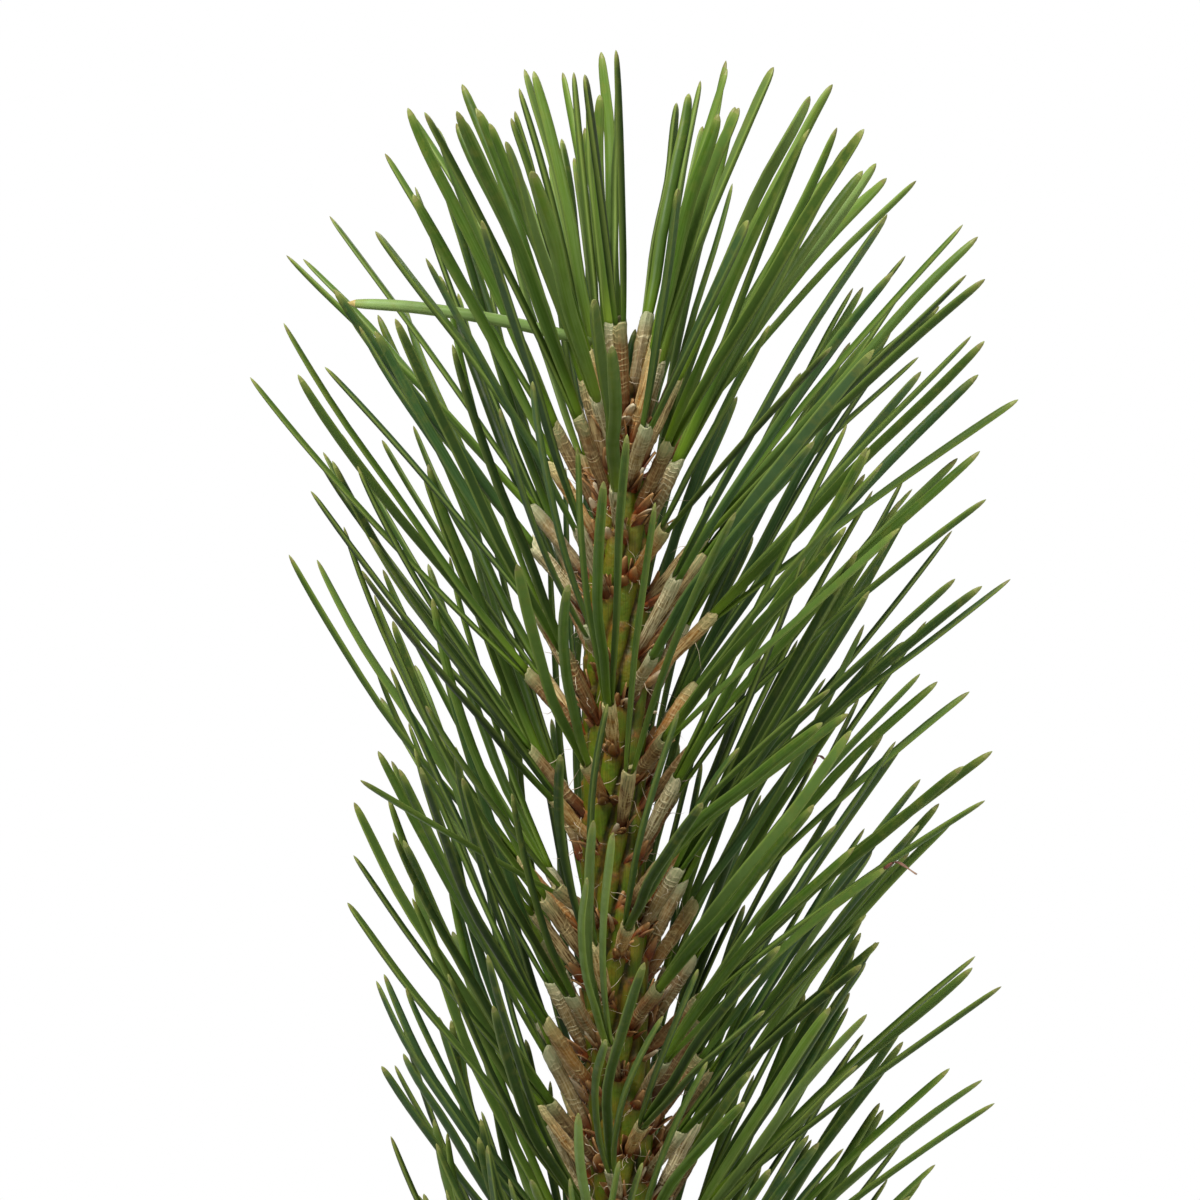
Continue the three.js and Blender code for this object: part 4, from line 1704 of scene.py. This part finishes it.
@dataclass
class Pot:
    """The clay pot, turned on a wheel, with a rim band and a drain hole."""

    low: Array
    high: Array
    wall: float = 6.0
    floor: float = 8.0
    shoulder: float = 58.0
    foot: float = 43.0
    rim_height: float = 25.0
    rim_wall: float = 10.0
    drain: float = 7.0
    longest: float = 2.2
    columns: int = 160
    marks: tuple[Range, Range] = ((0.1, 2.4), (0.06, 5.1))
    marks_from: float = 3.0
    lime_high: tuple[Range, Range] = ((60, 84), (92, 108))
    lime_low: Range = (4, 26)
    damp_from: Range = (20, 60)

    @property
    def height(self) -> float:
        """Give the pot's height."""
        return float(self.high[2] - self.low[2])

    def outline(self) -> Array:
        """Give the turned outline, from the drain hole round to it again.

        Returns:
            Rows of radius and height, close enough to carry relief.
        """
        top, rim = self.height, float(self.high[0] - self.low[0]) / 2
        under = top - self.rim_height
        corners = np.array([
            (self.drain, 0, 0.6), (self.foot, 0, 2.0), (self.shoulder, under, 0.8),
            (rim - 0.6, under - 0.4, 2.4), (rim, top, 3.4), (rim - self.rim_wall, top, 3.0),
            (self.shoulder - self.wall, under, 4.0), (self.foot - self.wall + 1.5, self.floor, 3.0),
            (self.drain, self.floor, 0.6),
        ])
        spots, turns, made = corners[:, :2], corners[:, 2], []
        for here, before, after, turn in zip(spots, np.roll(spots, 1, 0), np.roll(spots, -1, 0), turns):
            start, end = here + unit(before - here) * turn, here + unit(after - here) * turn
            for share in np.linspace(0, 1, 6):
                made.append((1 - share) ** 2 * start + 2 * share * (1 - share) * here + share**2 * end)
        outline = []
        for here, after in zip(made, made[1:] + made[:1]):
            steps = max(1, math.ceil(np.linalg.norm(after - here) / self.longest))
            outline += [here + (after - here) * k / steps for k in range(steps)]
        return np.array(outline)

    def build(self, name: str) -> bpy.types.Object:
        """Build the pot as one closed piece.

        Args:
            name: The piece's name.

        Returns:
            The piece.
        """
        outline, turns = self.outline(), spin(self.columns)
        count, columns = len(outline), self.columns
        height = np.repeat(outline[:, 1:], columns, axis=1)
        outside = np.arange(count) < np.argmax(outline[:, 1] > self.height - 0.5)
        (deep, slow), (fine, quick) = self.marks
        marks = deep * np.sin(height * slow + 0.5 * np.sin(turns * 3)) + fine * np.sin(height * quick + turns)
        flank = outside & (outline[:, 1] > self.marks_from)
        radius = outline[:, :1] + (marks - (deep + fine)) * flank[:, None]
        points = np.stack([radius * np.cos(turns), radius * np.sin(turns), height], 2).reshape(-1, 3)
        i, j = np.divmod(np.arange(count * columns), columns)
        row, below, after = i * columns, (i + 1) % count * columns, (j + 1) % columns
        faces = np.stack([row + j, row + after, below + after, below + j], 1)
        u = (j[:, None] + np.array([0, 1, 1, 0])) / columns
        v = (i[:, None] + np.array([0, 0, 1, 1])) / count
        rising, falling = self.lime_high
        bloom = smooth(*rising, height) * (1 - smooth(*falling, height)) * 0.5
        bloom = bloom + (1 - smooth(*self.lime_low, height)) * 0.9
        wet = np.where(outside[:, None], 0.15 * smooth(*self.damp_from, height), smooth(0, 1, height))
        weave = Weave()
        weave.put(points, faces, 0, np.stack([u, v], 2), bloom=bloom.ravel(), wet=wet.ravel())
        return weave.object(name, ClayFinish().material())


@dataclass(frozen=True)
class Lump:
    """One kind of loose grain on the potting mix.

    Half-widths run between two sizes. Flat is the share of its width that a grain is thick, and lift is
    how far it stands out of the mix, as a share of its half-width.
    """

    piece: str
    count: int
    sizes: Range
    flat: float
    lift: float
    finish: PlainFinish


@dataclass
class Filling:
    """The potting mix: a lumpy dark surface with crumbs, bark chips and white grains on it."""

    low: Array
    high: Array
    clear_of: float = 9.0
    flat_radius: float = 16.0
    dome: float = 2.0
    columns: int = 150
    rows: int = 70
    swells: tuple[Range, ...] = ((0.16, 0.9), (0.5, 0.8), (1.3, 0.45))
    swells_over: float = 3.0
    hub: float = 0.6
    in_side: Range = (0.6, 6.0)
    in_foot: float = 12.5
    side_drop: float = 5.0
    side_knee: float = 50.0
    edge_gap: float = 2.0
    mix: PlainFinish = PlainFinish("mix_body", (52, 38, 28), (28, 20, 14), 500.0, 0.95, 0.6)
    lumps: tuple[Lump, ...] = (
        Lump("mix_crumbs", 700, (0.5, 2.4), 0.8, 0.0,
             PlainFinish("mix_crumb", (60, 42, 30), (30, 20, 14), 900.0, 0.95, 0.3)),
        Lump("mix_chips", 110, (1.4, 5.0), 0.3, 0.22,
             PlainFinish("bark_chip", (112, 72, 44), (66, 40, 26), 500.0, 0.85, 0.3)),
        Lump("mix_grains", 60, (0.6, 1.9), 0.8, 0.12,
             PlainFinish("white_grain", (226, 224, 216), (196, 192, 180), 1200.0, 0.9, 0.1)),
    )

    def surface(self, radius: Array) -> Array:
        """Give the height of the plain surface at a radius."""
        return float(self.high[2]) - self.dome * smooth(self.flat_radius, float(self.high[0]), radius)

    def build(self, name: str) -> bpy.types.Object:
        """Build the body of the filling, its top uneven.

        Args:
            name: The piece's name.

        Returns:
            The piece.
        """
        edge, top, floor = float(self.high[0]), float(self.high[2]), float(self.low[2])
        rows, turns = self.rows, spin(self.columns)
        under = [edge - self.in_side[0], edge - self.in_side[1], edge - self.in_foot, self.hub]
        radii = np.append(np.linspace(self.hub, edge, rows), under)
        levels = np.append(self.surface(radii[:rows]), [top - self.side_drop, self.side_knee, floor, floor])
        x, y = radii[:, None] * np.cos(turns), radii[:, None] * np.sin(turns)
        z = np.repeat(levels[:, None], len(turns), axis=1)
        for i, j in np.ndindex(rows, len(turns)):
            place = Vector((x[i, j], y[i, j], 0))
            lump = sum(noise.noise(place * fine) * tall for fine, tall in self.swells)
            z[i, j] += lump * float(smooth(self.clear_of, self.clear_of + self.swells_over, radii[i]))
        weave = Weave()
        weave.tube(np.stack([x, y, z], 2)[::-1], 0, (0, 1))
        return weave.object(name, self.mix.material())

    def scatter(self, lump: Lump, chance: Chance) -> bpy.types.Object:
        """Build loose grains that lie on the mix.

        Args:
            lump: Their kind.
            chance: Random numbers for places and shapes.

        Returns:
            The piece.
        """
        ball = bmesh.new()
        bmesh.ops.create_icosphere(ball, subdivisions=2, radius=1.0)
        points = np.array([v.co for v in ball.verts])
        faces = np.array([[v.index for v in f.verts] + [f.verts[2].index] for f in ball.faces])
        ball.free()
        weave, flat = Weave(), lump.flat
        side = math.ceil(math.sqrt(lump.count))
        near, far = (self.clear_of + 1) ** 2, (float(self.high[0]) - self.edge_gap) ** 2
        for number in range(lump.count):
            radius = math.sqrt(chance.uniform(near, far))
            turn = chance.uniform(0, TURN)
            size = lump.sizes[0] + (lump.sizes[1] - lump.sizes[0]) * chance.random() ** 2.5
            ways = unit(chance.normal(0, 1, (4, 3)))
            swell = 1 + 0.16 * np.sin(points @ ways.T * 3.2 + chance.uniform(0, 6, 4)).sum(1)
            stretch = np.array([1, chance.uniform(0.45, 0.95), flat * chance.uniform(0.7, 1.2)])
            tilt = Matrix.Rotation(chance.uniform(0, 6.28), 3, "Z")
            tilt = tilt @ Matrix.Rotation(chance.uniform(-0.5, 0.5), 3, "X")
            shape = (points * swell[:, None] * stretch * size) @ np.array(tilt).T
            lift = flat * chance.uniform(0.2, 0.7) + lump.lift
            level = float(self.surface(np.array(radius))) + size * lift
            place = np.array([radius * math.cos(turn), radius * math.sin(turn), level])
            corner = np.array([number % side, number // side]) / side
            weave.put(shape + place, faces, 0, ((points[:, :2] + 1.05) / 2.1 / side + corner)[faces])
        return weave.object(lump.piece, lump.finish.material())


@dataclass(frozen=True)
class Lamp:
    """A square soft light: where it hangs and what it points at, its side in metres, its power in watts."""

    name: str
    place: Place
    aim: Place
    size: float
    power: float


@dataclass
class Studio:
    """The pale floor, the soft lights and the camera at the photograph's viewing angle."""

    scale: float = 0.15
    frame_pixels: int = 1200
    distance: float = 430.0
    pitch: float = math.radians(5.0)
    target: Place = (-3.1, 0.0, 287.0)
    sensor: float = 36.0
    near: float = 0.01
    far: float = 20.0
    floor_radius: float = 0.58
    floor_level: float = -0.0006
    floor_pale: Colour = (244, 244, 242)
    floor_second: Colour = (240, 240, 238)
    ambient: float = 0.29
    ambient_tint: tuple[float, ...] = (1, 0.99, 0.96, 1)
    lamps: tuple[Lamp, ...] = (
        Lamp("key", (-0.2, -0.34, 0.74), (0, 0, 0.32), 0.28, 4.6),
        Lamp("fill", (0.7, -0.6, 0.5), (0, 0, 0.25), 0.6, 2.5),
        Lamp("rim", (0.3, 0.8, 0.9), (0, 0, 0.25), 0.5, 3.8),
    )

    def camera(self) -> None:
        """Set up the camera so that a pixel covers the photograph's scale at the stem."""
        data = bpy.data.cameras.new("camera")
        data.sensor_width = self.sensor
        data.lens = self.distance / (self.scale * self.frame_pixels) * self.sensor
        data.clip_start, data.clip_end = self.near, self.far
        camera = placed("camera", data)
        way = Vector((0, math.cos(self.pitch), -math.sin(self.pitch)))
        camera.location = (Vector(self.target) - way * self.distance) * MM
        camera.rotation_euler = way.to_track_quat("-Z", "Y").to_euler()
        bpy.context.scene.camera = camera

    def light(self, lamp: Lamp) -> None:
        """Hang one light.

        Args:
            lamp: The light.
        """
        data = bpy.data.lights.new(lamp.name, "AREA")
        data.shape, data.size, data.energy = "SQUARE", lamp.size, lamp.power
        thing = placed(lamp.name, data)
        thing.location = lamp.place
        thing.rotation_euler = (Vector(lamp.aim) - Vector(lamp.place)).to_track_quat("-Z", "Y").to_euler()

    def surroundings(self) -> None:
        """Light the scene from all round, with white behind the plant."""
        world = bpy.data.worlds.new("studio")
        bpy.context.scene.world = world
        world.use_nodes = True
        world.node_tree.nodes.clear()
        nodes = Nodes(world.node_tree)
        seen, cast = nodes.node("Background"), nodes.node("Background")
        for back, colour, strength in ((seen, (1, 1, 1, 1), 1.0), (cast, self.ambient_tint, self.ambient)):
            back.inputs["Color"].default_value = colour
            back.inputs["Strength"].default_value = strength
        ray = nodes.node("LightPath").outputs["Is Camera Ray"]
        blend = nodes.node("MixShader", ray, cast.outputs[0], seen.outputs[0])
        nodes.node("OutputWorld", blend.outputs[0])
        bpy.context.scene.view_settings.view_transform = "Standard"

    def floor(self) -> None:
        """Lay the floor that the pot stands on."""
        reach, turns = self.floor_radius, spin(96)
        ring = [(reach * math.cos(t), reach * math.sin(t), self.floor_level) for t in turns]
        mesh = bpy.data.meshes.new("studio_floor")
        mesh.from_pydata(ring, [], [tuple(range(len(ring)))])
        board = Board("studio_floor")
        pale = board.mix(board.speckle(3.0, 0.3, 0.7), self.floor_pale, self.floor_second)
        floor = placed("studio_floor", mesh, board.finish(pale, roughness=0.9))

    def build(self) -> None:
        """Build the whole studio."""
        self.camera()
        self.surroundings()
        self.floor()
        for lamp in self.lamps:
            self.light(lamp)


def main() -> None:
    """Build the pine, its pot and the studio round them."""
    logging.basicConfig(level=logging.INFO, format="%(message)s")
    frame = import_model()
    chance = np.random.default_rng(7)
    pot_low, pot_high = (np.array(corner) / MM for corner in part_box("pot"))
    mix_low, mix_high = (np.array(corner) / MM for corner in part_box("potting_mix"))

    Studio().build()
    crown = Crown(StemLine(ground=float(mix_high[2])))
    bundles = crown.grow()
    log.info("%d bundles, %d needles", len(bundles), sum(len(b.needles) for b in bundles))

    plain = NeedleCoat()
    # The tuft is dealt mostly the FRESH_LIT green and few DEEP_SHADED ones, so its top is painted lighter, as
    # if lit from above.
    stout_lit = NeedleCoat(radius={2: 1.04, 3: 1.12}, deal=(0.34, 0.5, 0.04, 0.12))
    sizes = [crown.rows * count for count in crown.storeys] + [crown.tuft_bundles + crown.heart_bundles]
    first = 0
    for coat, storey, size in zip((plain, plain, plain, stout_lit), ("low", "mid", "high", "tuft"), sizes):
        held = [b for b in bundles if first <= b.number < first + size]
        masses = [n for n in frame["nodes"] if n.startswith(f"needles_{storey}_")] or ["leader_tuft"]
        report(coat.build(f"needle_leaves_{storey}", held, chance), "needles", *masses)
        first += size
    flakes = Flakes()
    report(SheathCoat().build("needle_sheaths", bundles, chance), "needles")
    report(flakes.scales("dry_scales", crown, bundles, chance), "needles")
    report(flakes.threads("pale_threads", bundles, chance), "needles")
    report(StrayNeedle().build("stray_needle"), "needles")
    report(DeadTips().build("dead_tips", bundles), "needles")
    report(StemCoat(crown).build("stem_bark"), "bark", "stem")

    report(Pot(pot_low, pot_high).build("clay_pot"), "clay", "pot")
    filling = Filling(mix_low, mix_high)
    report(filling.build("mix_fill"), "potting_mix", "potting_mix")
    for lump in filling.lumps:
        report(filling.scatter(lump, chance), "potting_mix")


if __name__ == "__main__":
    main()
